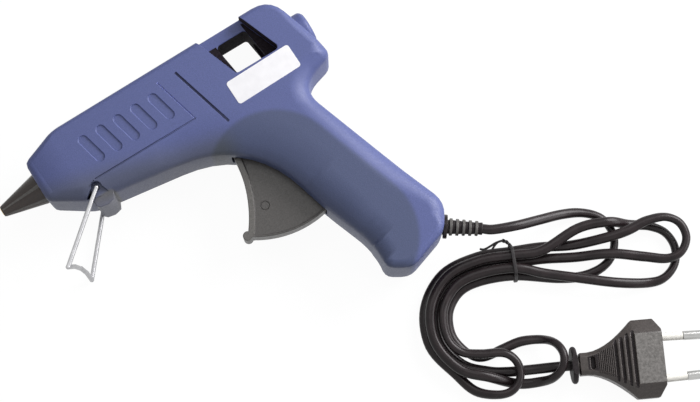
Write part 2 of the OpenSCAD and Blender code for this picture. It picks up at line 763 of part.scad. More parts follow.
module heater_electrodes() {
    color(brass) mid() for (s = [[lower_plate_y, -1], [upper_plate_y, 1]]) {
        slab([heater_from + 1, s[0], -plate_half], [heater_to - 0.5, s[0] + electrode_t, plate_half]);
        translate([heater_to - 1, s[0], s[1] * tab_z - tab_w / 2]) cube([tab_len + 1, electrode_t, tab_w]);
    }
}
module heater_clip() {
    color(steel) mid() {
        slab([heater_from + 4, clip_y, -heater_half - push_gap - clip_t],
            [heater_to - 4, clip_y + clip_t, heater_half + push_gap + clip_t]);
        for (s = [-heater_half - push_gap - clip_t, heater_half + push_gap])
            slab([heater_from + 4, chamber_r - 2.5, s], [heater_to - 4, clip_y + clip_t, s + clip_t]);
    }
}
module support(x) {
    translate([x, 0, 0]) rotate([0, 90, 0]) difference() {
        linear_extrude(support_t) intersection() {
            square(2 * support_half, center = true);
            circle(r = support_half + 1.8);
        }
        translate([0, 0, -past]) cylinder(h = support_t + 2 * past, r = chamber_r + push_gap);
    }
}
module front_support() color([0.55, 0.5, 0.42]) mid() support(front_support_x);
module rear_support() {
    color([0.55, 0.5, 0.42]) mid() difference() {
        support(rear_support_x);
        slab([rear_support_x - past, chamber_r - 2, -wire_slot_half],
            [rear_support_x + support_t + past, support_half + past, wire_slot_half]);
    }
}
module inlet_sleeve() {
    over_r = chamber_neck_r + push_gap;
    color([0.75, 0.4, 0.35]) mid() turned_x([[over_r, chamber_neck_x + push_gap],
        [over_r + sleeve_wall, chamber_neck_x + push_gap], [over_r + sleeve_wall, chamber_rear],
        [bore_r + sleeve_wall + 0.2, chamber_rear + 2], [bore_r + sleeve_wall + 0.2, sleeve_rear],
        [bore_r + 0.9, sleeve_rear], [bore_r, sleeve_rear - 3], [bore_r, chamber_rear + push_gap],
        [over_r, chamber_rear + push_gap]]);
}
module sleeve_clip() {
    inner = chamber_neck_r + sleeve_wall + 2 * push_gap;
    color(steel) mid() difference() {
        union() {
            along_x(chamber_neck_x + 1.9, chamber_neck_x + 4.9, inner + 0.8);
            slab([chamber_neck_x + 1.9, -inner - 3, -1.6], [chamber_neck_x + 4.9, -inner + 0.5, 1.6]);
        }
        along_x(chamber_neck_x, chamber_neck_x + 6, inner);
    }
}

// Feed: a carriage round the stick, its toothed jaw, and the trigger that drives it
module feed_carriage() {
    color([0.85, 0.83, 0.76]) mid() difference() {
        union() {
            slab([carriage_from, -carriage_y, -carriage_half], [carriage_to, carriage_y, carriage_half]);
            for (s = [-1, 1]) {
                translate([pin_rest_x, 0, s > 0 ? carriage_half - past : -half_t + wall + 0.5])
                    cylinder(h = half_t - wall - 0.5 - carriage_half + past, r = drive_pin_r);
                translate([0, 0, s > 0 ? jaw_half + seat_gap : -jaw_half - seat_gap - ear_t])
                    linear_extrude(ear_t) {
                        translate(jaw_hinge) circle(r = jaw_pin_r + 1.4);
                        translate([jaw_hinge[0] - ear_w / 2, carriage_y - past])
                            square([ear_w, jaw_hinge[1] - carriage_y + past]);
                    }
            }
        }
        along_x(carriage_from - past, carriage_to + past, bore_r + seat_gap);
        slab([jaw_hinge[0] - jaw_slot_front, 0, -jaw_half - seat_gap],
            [carriage_to - jaw_slot_back, carriage_y + past, jaw_half + seat_gap]);
        post(jaw_hinge, jaw_pin_r + run_gap, -carriage_half, carriage_half);
    }
}
module grip_jaw() {
    tooth_y = bore_r + 0.35;
    color("dimgray") mid() translate([0, 0, -jaw_half]) linear_extrude(2 * jaw_half) difference() {
        union() {
            translate(jaw_hinge) circle(r = jaw_pin_r + 1.4);
            polygon(concat([jaw_hinge + [-0.6, -2.4]],
                [for (i = [0:tooth_count - 1]) each [
                    [jaw_hinge[0] + tooth_first + i * tooth_pitch, tooth_y + tooth_pitch / 2],
                    [jaw_hinge[0] + tooth_first + (i + 0.5) * tooth_pitch, tooth_y]]],
                [[jaw_hinge[0] + 5.6, tooth_y + 1.6], jaw_hinge + [1.2, 2.2]]));
        }
        translate(jaw_hinge) circle(r = jaw_pin_r + run_gap);
    }
}
module jaw_pin() {
    reach = jaw_half + seat_gap + ear_t + 0.3;
    color(steel) mid() post(jaw_hinge, jaw_pin_r, -reach, reach);
}

// Flat side of the trigger inside a band that starts the given distance behind its front
module trigger_face(step) {
    difference() {
        intersection() {
            translate(pivot) circle(r = trigger_r);
            polygon([[front_top[0] + 0.4, pivot[1] + 1], [pivot[0] + 5, pivot[1] + 1],
                [pivot[0] + 12, pivot[1] - trigger_r - 1], [knob[0] - 30, pivot[1] - trigger_r - 1],
                [knob[0] - 30, front_top[1] + 2], [front_top[0] + 0.4, front_top[1] + 2]]);
        }
        translate(front_c) circle(r = front_r + step, $fn = 96);
    }
}
module trigger() {
    color([0.32, 0.32, 0.31]) mid() difference() {
        union() {
            linear_extrude(trigger_t - 2 * rim_step, center = true) trigger_face(0);
            linear_extrude(trigger_t, center = true) difference() {
                trigger_face(0);
                trigger_face(rim_w);
            }
            linear_extrude(trigger_t - rim_step, center = true) difference() {
                trigger_face(0);
                translate(pivot) circle(r = trigger_r - 0.9);
            }
            post(knob, knob_r, -trigger_t / 2, trigger_t / 2);
            post(pivot, trigger_pin_d / 2 + 2.6, -boss_to_z, boss_to_z);
            translate([pivot[0], pivot[1], 0]) rotate([0, 0, arm_angle]) for (z = [arm_from_z, -arm_to_z])
                translate([-arm_w / 2, 0, z]) difference() {
                    cube([arm_w, trigger_drop + 5.4, arm_to_z - arm_from_z]);
                    translate([arm_w / 2 - drive_pin_r - free_gap, trigger_drop - 4.4, -past])
                        cube([2 * (drive_pin_r + free_gap), 20, 2 * past + arm_to_z - arm_from_z]);
                }
        }
        post(pivot, trigger_pin_d / 2 + run_gap, -half_t, half_t);
        spring_cut = spring_seat - 0.2 * heading(spring_heading);
        translate([spring_cut[0], spring_cut[1], 0]) rotate([0, 90, spring_heading])
            cylinder(h = 8, r = spring_d / 2 + 1);
        for (s = [-1, 1]) translate([-12.6, pivot[1] - 28.3, s * (trigger_t / 2 - rim_step)]) difference() {
            cylinder(h = 0.6, d = 4.2, center = true);
            cylinder(h = 1, d = 3.4, center = true);
        }
    }
}
module trigger_pin() {
    reach = half_t - wall - 0.4;
    color(steel) mid() post(pivot, trigger_pin_d / 2, -reach, reach);
}
module return_spring() {
    turn_steps = 8;
    count = spring_turns * turn_steps;
    reach = spring_len - spring_wire;
    coil = [for (i = [0:count]) let (a = 360 * i / turn_steps)
        [spring_d / 2 * cos(a), spring_d / 2 * sin(a), spring_wire / 2 + reach * i / count]];
    color(steel) mid() translate([spring_seat[0], spring_seat[1], 0]) rotate([0, 90, spring_heading])
        spring_tube(coil, spring_wire / 2, 6);
}
// Round tube about the Z axis, with its section turned outward from that axis
module spring_tube(path, r, sides) {
    count = len(path);
    points = [for (i = [0:count - 1]) let (out = unit([path[i][0], path[i][1], 0]))
        for (k = [0:sides - 1]) let (turn = 360 * k / sides)
            path[i] + r * (cos(turn) * out + sin(turn) * [0, 0, 1])];
    skin = [for (i = [0:count - 2]) for (k = [0:sides - 1]) let (
            a = i * sides + k,
            b = i * sides + (k + 1) % sides
        )
        each [[a, b, b + sides], [a, b + sides, a + sides]]];
    ends = [[for (k = [sides - 1:-1:0]) k], [for (k = [0:sides - 1]) (count - 1) * sides + k]];
    polyhedron(points = points, faces = concat(skin, ends), convexity = 12);
}
module inlet_collar() {
    round_r = 2.2;
    color(blue) mid() turned_x(concat([[bore_r, collar_from], [collar_r + collar_lip, collar_from],
        [collar_r + collar_lip, collar_from + 1.6], [collar_r, collar_from + 1.6]],
        [for (a = [0:15:90]) [collar_r, collar_end] + round_r * [cos(a) - 1, sin(a) - 1]],
        [[bore_r + 0.8, collar_end], [bore_r, collar_end - 0.8]]));
}

// Wire stand: two legs from their pivots to a bowed foot
module rod(from, to, r) {
    d = to - from;
    translate(from) rotate([0, acos(d[2] / norm(d)), atan2(d[1], d[0])]) cylinder(h = norm(d), r = r);
}
module wire(route, r) {
    for (i = [0:len(route) - 2]) rod(route[i], route[i + 1], r);
    for (i = [1:len(route) - 2]) translate(route[i]) sphere(r = r + bend_swell);
}
module wire_stand() {
    bow = 2.2 * heading(near_leg_angle / 2 + far_leg_angle / 2);
    foot = function (u) far_foot + u * (near_foot - far_foot) + 4 * u * (1 - u) * bow;
    color(steel) mid() wire(concat([[each stand_pivot, -stand_floor + 3.4], [each stand_pivot, -stand_z]],
        [for (u = [0:0.25:1]) [each foot(u), stand_z * (2 * u - 1)]],
        [[each stand_pivot, stand_z], [each stand_pivot, stand_floor - 3.4]]), stand_r);
}

// Fasteners and cord hardware inside the grip
module case_screws() {
    color(steel) mid() for (p = screw_places) difference() {
        union() {
            post(p, screw_r, -head_seat_z, screw_tip_z);
            post(p, screw_head_r, -head_seat_z - screw_head_t, -head_seat_z - push_gap);
            post(p, screw_r, -head_seat_z - past, -head_seat_z + past);
        }
        for (a = [0, 90]) translate([p[0], p[1], -head_seat_z - screw_head_t]) rotate([0, 0, a])
            cube(screw_recess, center = true);
    }
}
module cord_clamp() {
    color("dimgray") mid() at_entry() difference() {
        slab([-clamp_at - clamp_half, -clamp_span - 2.8, cord_r + push_gap],
            [-clamp_at + clamp_half, clamp_span + 2.8, cord_r + push_gap + clamp_t]);
        for (s = [-1, 1]) post([-clamp_at, s * clamp_span], clamp_screw_r + push_gap, 0, half_t);
    }
}
module clamp_screws() {
    seat = cord_r + push_gap + clamp_t;
    color(steel) mid() at_entry() for (s = [-1, 1]) difference() {
        union() {
            post([-clamp_at, s * clamp_span], clamp_screw_r, -half_t / 2, seat + past);
            post([-clamp_at, s * clamp_span], 2.2, seat + push_gap, seat + 1.5);
        }
        translate([-clamp_at, s * clamp_span, seat + 1.5]) cube([3, 0.6, 1.2], center = true);
    }
}
module lead(side, plate_y) tube(smooth(wire_route(side, plate_y + electrode_t / 2), 2), lead_r, 8);
module live_lead() color("saddlebrown") mid() lead(1, upper_plate_y);
module neutral_lead() color("royalblue") mid() lead(-1, lower_plate_y);
module lead_crimps() {
    grip_t = electrode_t + 2 * run_gap;
    color(steel) mid() for (s = [[lower_plate_y, -1], [upper_plate_y, 1]])
        translate([heater_to + crimp_back, s[0] + electrode_t / 2, s[1] * tab_z]) difference() {
            translate([0, -crimp_t / 2, -tab_w / 2 - 0.5]) cube([tab_len - 1, crimp_t, tab_w + 1]);
            translate([-past, -grip_t / 2, -tab_w / 2 - run_gap])
                cube([past + tab_len - crimp_back + push_gap, grip_t, tab_w + 2 * run_gap]);
        }
}
module strain_relief() {
    taper = function (u) relief_bore + 1.55 - 0.65 * u;
    rib_profile = [for (i = [0:relief_ribs - 1]) let (
            x = relief_flange_t + 0.8 + i * relief_pitch,
            r = taper(i / relief_ribs)
        )
        each [[r - 0.75, x], [r, x + 0.2], [r, x + 1.4], [r - 0.75, x + 1.6]]];
    inside = -wall - push_gap;
    seat_r = relief_neck + relief_seat;
    flange_r = relief_neck + 1.7;
    color(black) mid() at_entry() turned_x(concat([[relief_bore, inside - relief_seat_t],
        [seat_r, inside - relief_seat_t], [seat_r, inside], [relief_neck, inside], [relief_neck, push_gap],
        [flange_r, push_gap], [flange_r, relief_flange_t], [relief_bore + 0.8, relief_flange_t]],
        rib_profile, [[relief_bore + 0.5, relief_len], [relief_bore, relief_len]]));
}
module cord_entry() color(black) mid() at_entry() along_x(-stub_len, relief_len, cord_r);

// Cord outside the housing
module cord_lead() color(black) tube(cord_path, cord_r, 8, 0, hank_first);
module cord_hank() color(black) tube(cord_path, cord_r, 6, hank_first, hank_last);
module cord_tail() color(black) tube(cord_path, cord_r, 8, hank_last);
module cord_tie() {
    at = bundle_at(0, -tie_run, 0);
    low = cord_pitch + cord_r + seat_gap;
    high = cord_pitch / 2 + cord_r + seat_gap;
    top = second_z + tie_lift + cord_r + seat_gap;
    place = on_table(at[0], at[1], 0);
    knee = cord_d + 1;
    outer_low = low + tie_t;
    outer_high = high + tie_t + 0.2;
    inner_high = high + 0.3;
    color(black) translate(place) rotate([90, 0, 90 + table_turn + bundle_rise])
        linear_extrude(tie_w, center = true) difference() {
            polygon([[-outer_low, 0.05], [outer_low, 0.05], [outer_low, knee], [outer_high, top + tie_t],
                [-outer_high, top + tie_t], [-outer_low, knee]]);
            polygon([[-low, 0.6], [low, 0.6], [low, knee], [inner_high, top], [-inner_high, top],
                [-low, knee]]);
        }
}

// Two-pin mains plug lying flat: a neck that flares into a bevelled head
function flare(x) = min(max((x - plug_neck_len) / (plug_len - plug_head_len - plug_neck_len), 0), 1);
function plug_ring(at) = let (
        x = min(at, plug_len),
        u = flare(x),
        corner = max(x - plug_len + plug_corner, 0) / plug_corner,
        w = plug_neck_w + (plug_w / 2 - plug_neck_w) * pow(u, 1.7) - plug_corner_w * corner,
        f = plug_neck_flat + (plug_top_flat - plug_neck_flat) * pow(u, 1.4),
        h = plug_neck_t + (plug_t / 2 - plug_neck_t) * min(u / 0.85, 1),
        side = h - 0.67 * (w - f)
    )
    [[at, w, side], [at, f, h], [at, -f, h], [at, -w, side],
        [at, -w, -side], [at, -f, -h], [at, f, -h], [at, w, -side]];
module plug_form() {
    flare_steps = 8;
    flare_end = plug_len - plug_head_len;
    stations = concat([plug_stub_len - 0.4],
        [for (k = [0:flare_steps]) plug_neck_len + (flare_end - plug_neck_len) * k / flare_steps],
        [plug_len - plug_corner, plug_len, plug_len + past]);
    rings = [for (x = stations) plug_ring(x)];
    sides = len(rings[0]);
    skin = [for (i = [0:len(rings) - 2]) for (k = [0:sides - 1]) let (
            a = i * sides + k,
            b = i * sides + (k + 1) % sides
        )
        each [[a, b + sides, b], [a, a + sides, b + sides]]];
    ends = [[for (k = [0:sides - 1]) k], [for (k = [sides - 1:-1:0]) (len(rings) - 1) * sides + k]];
    intersection() {
        polyhedron(points = [for (r = rings) each r], faces = concat(skin, ends), convexity = 4);
        slab([0, -plug_w, -plug_t], [plug_len, plug_w, plug_t]);
    }
}
module plug_body() {
    bevel = 0.7;
    color(black) at_plug() difference() {
        union() {
            intersection() {
                turned_x([[0, 0], [plug_flange_r - bevel, 0], [plug_flange_r, bevel],
                    [plug_flange_r, plug_flange_t - bevel], [plug_flange_r - bevel, plug_flange_t],
                    [plug_neck_t - 0.5, plug_flange_t],
                    [plug_neck_t - 0.5, plug_stub_len], [0, plug_stub_len]]);
                slab([-past, -plug_w, -plug_z], [plug_len, plug_w, plug_z]);
            }
            plug_form();
        }
        at_pins() along_x(0, pin_len + pin_inside, sleeve_r + run_gap);
        for (s = [0, 1]) mirror([0, 0, s]) {
            for (i = [0:groove_count - 1]) groove(groove_first + i * groove_pitch, groove_w, groove_depth);
            for (i = [0:fine_count - 1]) groove(fine_first + i * fine_pitch, fine_w, fine_depth);
            translate([oval_x, 0, plug_ring(oval_x)[1][2] - oval_depth]) linear_extrude(plug_t)
                translate([0, oval_len / 2 - oval_w / 2]) slot_face(oval_w, oval_len);
        }
    }
}
// One groove across the plug's top, as deep below the surface at its own place as the others
module groove(x, w, depth) {
    slab([x - w / 2, -plug_w, plug_ring(x)[1][2] - depth], [x + w / 2, plug_w, plug_t]);
}
module at_pins() {
    for (s = [-1, 1]) translate([plug_len - pin_inside, s * pin_pitch / 2, 0]) rotate([0, 0, -s * pin_lean])
        children();
}
module plug_pins() {
    tip = pin_inside + pin_len;
    sleeve_end = pin_inside + sleeve_len;
    color(steel) at_plug() at_pins() turned_x([[0, push_gap], [pin_core_r, push_gap],
        [pin_core_r, sleeve_end], [pin_d / 2, sleeve_end], [pin_d / 2, tip - 0.8],
        [pin_d / 2 - 0.6, tip], [0, tip]]);
}
module pin_sleeves() {
    sleeve_end = pin_inside + sleeve_len - run_gap;
    color("ivory") at_plug() at_pins() turned_x([[pin_core_r + run_gap, push_gap], [sleeve_r, push_gap],
        [sleeve_r, sleeve_end], [pin_core_r + run_gap, sleeve_end]]);
}

left_shell();
right_shell();
nozzle();
nozzle_cover();
melt_chamber();
heater_element();
heater_electrodes();
heater_clip();
front_support();
rear_support();
inlet_sleeve();
sleeve_clip();
feed_carriage();
grip_jaw();
jaw_pin();
trigger();
trigger_pin();
return_spring();
inlet_collar();
wire_stand();
case_screws();
cord_clamp();
clamp_screws();
live_lead();
neutral_lead();
lead_crimps();
strain_relief();
cord_entry();
cord_lead();
cord_hank();
cord_tail();
cord_tie();
plug_body();
plug_pins();
pin_sleeves();
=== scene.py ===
import json
import math
import bmesh
import bpy
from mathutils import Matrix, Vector

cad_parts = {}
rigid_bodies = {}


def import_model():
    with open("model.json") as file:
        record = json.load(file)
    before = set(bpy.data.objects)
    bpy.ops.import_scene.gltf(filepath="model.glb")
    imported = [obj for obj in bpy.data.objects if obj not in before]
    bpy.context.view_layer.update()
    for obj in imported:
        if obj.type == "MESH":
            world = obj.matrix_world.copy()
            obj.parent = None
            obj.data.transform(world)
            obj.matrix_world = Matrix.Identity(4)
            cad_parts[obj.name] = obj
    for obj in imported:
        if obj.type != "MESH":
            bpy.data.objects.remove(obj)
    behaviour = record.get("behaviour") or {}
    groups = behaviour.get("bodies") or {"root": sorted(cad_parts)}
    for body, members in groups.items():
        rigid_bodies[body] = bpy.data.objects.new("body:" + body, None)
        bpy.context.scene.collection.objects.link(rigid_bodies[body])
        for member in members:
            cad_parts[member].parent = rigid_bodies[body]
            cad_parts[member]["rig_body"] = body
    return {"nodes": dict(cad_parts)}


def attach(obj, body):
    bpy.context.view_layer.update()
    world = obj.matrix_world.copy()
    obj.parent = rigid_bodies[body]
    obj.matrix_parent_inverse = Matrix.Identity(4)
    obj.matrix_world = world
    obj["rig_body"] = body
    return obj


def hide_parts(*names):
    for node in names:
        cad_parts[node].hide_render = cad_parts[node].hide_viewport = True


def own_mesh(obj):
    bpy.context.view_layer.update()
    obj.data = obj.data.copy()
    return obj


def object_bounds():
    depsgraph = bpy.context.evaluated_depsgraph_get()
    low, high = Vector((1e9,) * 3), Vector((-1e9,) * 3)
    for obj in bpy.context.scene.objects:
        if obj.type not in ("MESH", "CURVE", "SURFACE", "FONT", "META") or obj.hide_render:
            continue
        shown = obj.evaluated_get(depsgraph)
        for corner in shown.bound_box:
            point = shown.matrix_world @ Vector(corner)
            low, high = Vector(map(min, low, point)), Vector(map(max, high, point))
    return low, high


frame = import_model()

cadLow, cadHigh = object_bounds()
cadNodes = frame["nodes"]
scene = bpy.context.scene
scene.view_settings.view_transform = "Standard"
print("frame loaded:", len(cadNodes), "nodes")


# Small helpers

def deselectAll():
    if bpy.context.object and bpy.context.object.mode != "OBJECT":
        bpy.ops.object.mode_set(mode="OBJECT")
    bpy.ops.object.select_all(action="DESELECT")


def makeActive(piece):
    deselectAll()
    piece.select_set(True)
    bpy.context.view_layer.objects.active = piece


def applyAll(piece):
    makeActive(piece)
    for modifier in list(piece.modifiers):
        bpy.ops.object.modifier_apply(modifier=modifier.name)


def heading(degrees):
    return Vector((math.cos(math.radians(degrees)), math.sin(math.radians(degrees))))


def dress(piece, material, body):
    piece.data.materials.clear()
    piece.data.materials.append(material)
    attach(piece, body)


def addFinish(piece, name):
    piece.data.materials.append(finish[name])
    return len(piece.data.materials) - 1


# Camera at the photograph's viewing angle

cameraSetup = {
    "azimuth": -32,
    "elevation": 80,
    "target": Vector((0.0202, -0.0763, 0.017)),
    "distance": 0.85,
    "lens": 100,
    "sensor": 36,
}


def backOf(azimuth, elevation):
    a, e = math.radians(azimuth), math.radians(elevation)
    return Vector((math.sin(a) * math.cos(e), -math.cos(a) * math.cos(e), math.sin(e)))


bpy.ops.object.camera_add()
camera = bpy.context.object
camera.name = "photoCamera"
camera.data.lens = cameraSetup["lens"]
camera.data.sensor_width = cameraSetup["sensor"]
cameraBack = backOf(cameraSetup["azimuth"], cameraSetup["elevation"])
camera.location = cameraSetup["target"] + cameraBack * cameraSetup["distance"]
camera.rotation_euler = (-cameraBack).to_track_quat("-Z", "Y").to_euler()
scene.camera = camera
print("camera placed")


# Materials, each with its own grain on Object coordinates

def newSurface(name, color, roughness, metallic=0.0, specular=0.5):
    material = bpy.data.materials.new(name)
    material.use_nodes = True
    shader = material.node_tree.nodes["Principled BSDF"]
    shader.inputs["Base Color"].default_value = (*color, 1)
    shader.inputs["Roughness"].default_value = roughness
    shader.inputs["Metallic"].default_value = metallic
    shader.inputs["Specular IOR Level"].default_value = specular
    return material


def noiseOn(material, scale, detail=3, stretch=(1, 1, 1)):
    tree = material.node_tree
    coords = tree.nodes.get("objectCoords")
    if coords is None:
        coords = tree.nodes.new("ShaderNodeTexCoord")
        coords.name = "objectCoords"
    mapping = tree.nodes.new("ShaderNodeMapping")
    mapping.inputs["Scale"].default_value = stretch
    noise = tree.nodes.new("ShaderNodeTexNoise")
    noise.inputs["Scale"].default_value = scale
    noise.inputs["Detail"].default_value = detail
    tree.links.new(coords.outputs["Object"], mapping.inputs["Vector"])
    tree.links.new(mapping.outputs["Vector"], noise.inputs["Vector"])
    return noise


def addMottle(material, dark, light, scale, detail=4, span=(0.35, 0.65)):
    tree = material.node_tree
    ramp = tree.nodes.new("ShaderNodeValToRGB")
    ramp.color_ramp.elements[0].position = span[0]
    ramp.color_ramp.elements[0].color = (*dark, 1)
    ramp.color_ramp.elements[1].position = span[1]
    ramp.color_ramp.elements[1].color = (*light, 1)
    noise = noiseOn(material, scale, detail)
    tree.links.new(noise.outputs["Fac"], ramp.inputs["Fac"])
    tree.links.new(ramp.outputs["Color"], tree.nodes["Principled BSDF"].inputs["Base Color"])
    return ramp


def addGloss(material, low, high, scale, stretch=(1, 1, 1), span=(0.3, 0.7)):
    tree = material.node_tree
    spread = tree.nodes.new("ShaderNodeMapRange")
    spread.inputs["From Min"].default_value = span[0]
    spread.inputs["From Max"].default_value = span[1]
    spread.inputs["To Min"].default_value = low
    spread.inputs["To Max"].default_value = high
    noise = noiseOn(material, scale, 3, stretch)
    tree.links.new(noise.outputs["Fac"], spread.inputs["Value"])
    tree.links.new(spread.outputs["Result"], tree.nodes["Principled BSDF"].inputs["Roughness"])


def addGrain(material, scale, depth, strength=1.0, detail=2, stretch=(1, 1, 1)):
    tree = material.node_tree
    bump = tree.nodes.new("ShaderNodeBump")
    bump.inputs["Strength"].default_value = strength
    bump.inputs["Distance"].default_value = depth
    noise = noiseOn(material, scale, detail, stretch)
    tree.links.new(noise.outputs["Fac"], bump.inputs["Height"])
    tree.links.new(bump.outputs["Normal"], tree.nodes["Principled BSDF"].inputs["Normal"])


def vectorStep(tree, operation, first, second):
    step = tree.nodes.new("ShaderNodeVectorMath")
    step.operation = operation
    for socket, value in zip(step.inputs, (first, second)):
        if hasattr(value, "is_output"):
            tree.links.new(value, socket)
        else:
            socket.default_value = value
    return step


# Painted shade: the side of the grip is darker where its surface turns away from the light
gripShade = {
    "top": Vector((-0.0029, -0.0535, 0)),
    "foot": Vector((0.0102, -0.0918, 0)),
    "reach": 0.03,
    "soft": 0.0013,
    "tint": (0.66, 0.69, 0.57),
}
# Painted shade and floor reflection: the barrel's side greys and darkens towards its lower edge
lowerEdgeShade = {
    "top": Vector((-0.102, -0.0078, 0)),
    "foot": Vector((-0.017, -0.0302, 0)),
    "reach": 0.0065,
    "soft": 0.0062,
    "tint": (0.87, 0.81, 0.55),
}
# Painted floor reflection: the lug under the nose is greyer and lighter
lugReflection = {
    "top": Vector((-0.0725, -0.0224, 0)),
    "foot": Vector((-0.0672, -0.0224, 0)),
    "reach": 0.0032,
    "soft": 0.0008,
    "tint": (1.28, 1.1, 0.66),
}


# How far a point of the side lies from the middle line of a panel
def panelDistance(tree, panel):
    line = panel["foot"] - panel["top"]
    offset = vectorStep(tree, "SUBTRACT", tree.nodes["objectCoords"].outputs["Object"], panel["top"])
    flat = vectorStep(tree, "MULTIPLY", offset.outputs["Vector"], (1, 1, 0))
    run = vectorStep(tree, "DOT_PRODUCT", flat.outputs["Vector"], line / line.length_squared)
    share = tree.nodes.new("ShaderNodeClamp")
    tree.links.new(run.outputs["Value"], share.inputs["Value"])
    beside = tree.nodes.new("ShaderNodeVectorMath")
    beside.operation = "SCALE"
    beside.inputs[0].default_value = line
    tree.links.new(share.outputs["Result"], beside.inputs["Scale"])
    away = vectorStep(tree, "SUBTRACT", flat.outputs["Vector"], beside.outputs["Vector"])
    return vectorStep(tree, "LENGTH", away.outputs["Vector"], (0, 0, 0)).outputs["Value"]


def paintLightAndShade(material, color, panel):
    tree = material.node_tree
    share = tree.nodes.new("ShaderNodeMapRange")
    share.interpolation_type = "SMOOTHSTEP"
    share.inputs["From Min"].default_value = panel["reach"] - panel["soft"]
    share.inputs["From Max"].default_value = panel["reach"] + panel["soft"]
    share.inputs["To Min"].default_value = 1
    share.inputs["To Max"].default_value = 0
    tree.links.new(panelDistance(tree, panel), share.inputs["Value"])
    tinted = tree.nodes.new("ShaderNodeMix")
    tinted.data_type = "RGBA"
    tinted.blend_type = "MULTIPLY"
    tinted.inputs["B"].default_value = (*panel["tint"], 1)
    tree.links.new(share.outputs["Result"], tinted.inputs["Factor"])
    tree.links.new(color, tinted.inputs["A"])
    tree.links.new(tinted.outputs["Result"], tree.nodes["Principled BSDF"].inputs["Base Color"])
    return tinted.outputs["Result"]


def makeHousingPlastic():
    material = newSurface("housingPlastic", (0.077, 0.097, 0.246), 0.5, 0.0, 0.45)
    ramp = addMottle(material, (0.069, 0.088, 0.223), (0.086, 0.106, 0.269), 2200)
    color = ramp.outputs["Color"]
    # The three panels paint shade and floor reflection into the plastic's colour
    for panel in (gripShade, lowerEdgeShade, lugReflection):
        color = paintLightAndShade(material, color, panel)
    addGloss(material, 0.42, 0.58, 1400)
    addGrain(material, 2600, 0.0001, 0.5)
    return material


# Painted shade: a near-black finish for the window's walls and strips where shade falls
def makeWindowShade():
    material = newSurface("windowPaintedShade", (0.016, 0.012, 0.016), 0.8, 0.0, 0.12)
    addMottle(material, (0.012, 0.009, 0.012), (0.022, 0.017, 0.022), 900)
    addGloss(material, 0.72, 0.88, 1400)
    addGrain(material, 2600, 0.00006, 0.4)
    return material


def makeTriggerPlastic():
    material = newSurface("triggerPlastic", (0.056, 0.052, 0.05), 0.42)
    addMottle(material, (0.046, 0.043, 0.041), (0.067, 0.063, 0.06), 1500)
    addGloss(material, 0.34, 0.5, 900)
    addGrain(material, 3000, 0.00006, 0.5)
    return material


# Painted highlight: a lighter, glossier finish for rims, stripes and crests that catch the light
def makePaintedHighlight():
    material = newSurface("paintedHighlightPlastic", (0.084, 0.08, 0.074), 0.32)
    addMottle(material, (0.07, 0.066, 0.061), (0.1, 0.095, 0.088), 1100)
    addGloss(material, 0.24, 0.4, 900)
    addGrain(material, 3000, 0.00004, 0.4)
    return material


def makeCoverRubber():
    material = newSurface("coverRubber", (0.031, 0.023, 0.02), 0.4, 0.0, 0.4)
    addMottle(material, (0.025, 0.018, 0.016), (0.039, 0.029, 0.025), 900)
    addGloss(material, 0.34, 0.5, 900)
    addGrain(material, 2200, 0.00008, 0.5)
    return material


def makeCordVinyl():
    material = newSurface("cordVinyl", (0.013, 0.009, 0.01), 0.3, 0.0, 0.24)
    addMottle(material, (0.01, 0.0068, 0.0077), (0.0176, 0.0121, 0.0132), 260)
    addGloss(material, 0.25, 0.34, 300)
    addGrain(material, 700, 0.00002, 0.2)
    return material


def makePlugVinyl():
    material = newSurface("plugVinyl", (0.029, 0.023, 0.021), 0.4)
    addMottle(material, (0.022, 0.017, 0.015), (0.038, 0.03, 0.027), 900)
    addGloss(material, 0.34, 0.48, 1200)
    addGrain(material, 1700, 0.00006, 0.4)
    return material


# Moulded grain, on a lighter colour that is painted sheen from the lamp above
def makePlugGrainSheen():
    material = newSurface("plugGrainSheen", (0.1, 0.094, 0.088), 0.45)
    addMottle(material, (0.075, 0.071, 0.066), (0.168, 0.16, 0.152), 900, 4, (0.3, 0.72))
    addGloss(material, 0.36, 0.52, 1200)
    addGrain(material, 1500, 0.00012, 0.6)
    return material


def makeGrooveShade():
    material = newSurface("grooveShade", (0.012, 0.009, 0.01), 0.6, 0.0, 0.2)
    addMottle(material, (0.009, 0.006, 0.007), (0.016, 0.013, 0.014), 900)
    addGrain(material, 1700, 0.00004, 0.3)
    return material


def makeLineShade():
    material = newSurface("lineShade", (0.026, 0.03, 0.07), 0.6, 0.0, 0.2)
    addMottle(material, (0.022, 0.026, 0.06), (0.031, 0.035, 0.081), 1400)
    addGrain(material, 2600, 0.00005, 0.4)
    return material


# Painted highlight on the one moulded line that catches the light
def makeLineHighlight():
    material = newSurface("lineHighlight", (0.25, 0.28, 0.6), 0.5, 0.0, 0.4)
    addMottle(material, (0.23, 0.26, 0.56), (0.27, 0.3, 0.64), 1400)
    addGrain(material, 2600, 0.00005, 0.4)
    return material


def makeTieSkin():
    material = newSurface("tieSkin", (0.009, 0.007, 0.008), 0.45, 0.0, 0.35)
    addMottle(material, (0.007, 0.005, 0.006), (0.013, 0.011, 0.012), 700)
    addGloss(material, 0.38, 0.52, 900)
    addGrain(material, 1500, 0.00002, 0.3)
    return material


def makeBrightWire():
    material = newSurface("brightWire", (0.44, 0.44, 0.45), 0.38, 1.0)
    addMottle(material, (0.4, 0.4, 0.41), (0.47, 0.47, 0.48), 300)
    addGloss(material, 0.34, 0.44, 400, (1, 1, 0.2))
    addGrain(material, 500, 0.000004, 0.1)
    return material


def makeScrewSteel():
    material = newSurface("screwSteel", (0.5, 0.5, 0.5), 0.34, 1.0)
    addGloss(material, 0.26, 0.44, 1500)
    addGrain(material, 1500, 0.00004, 0.4)
    return material


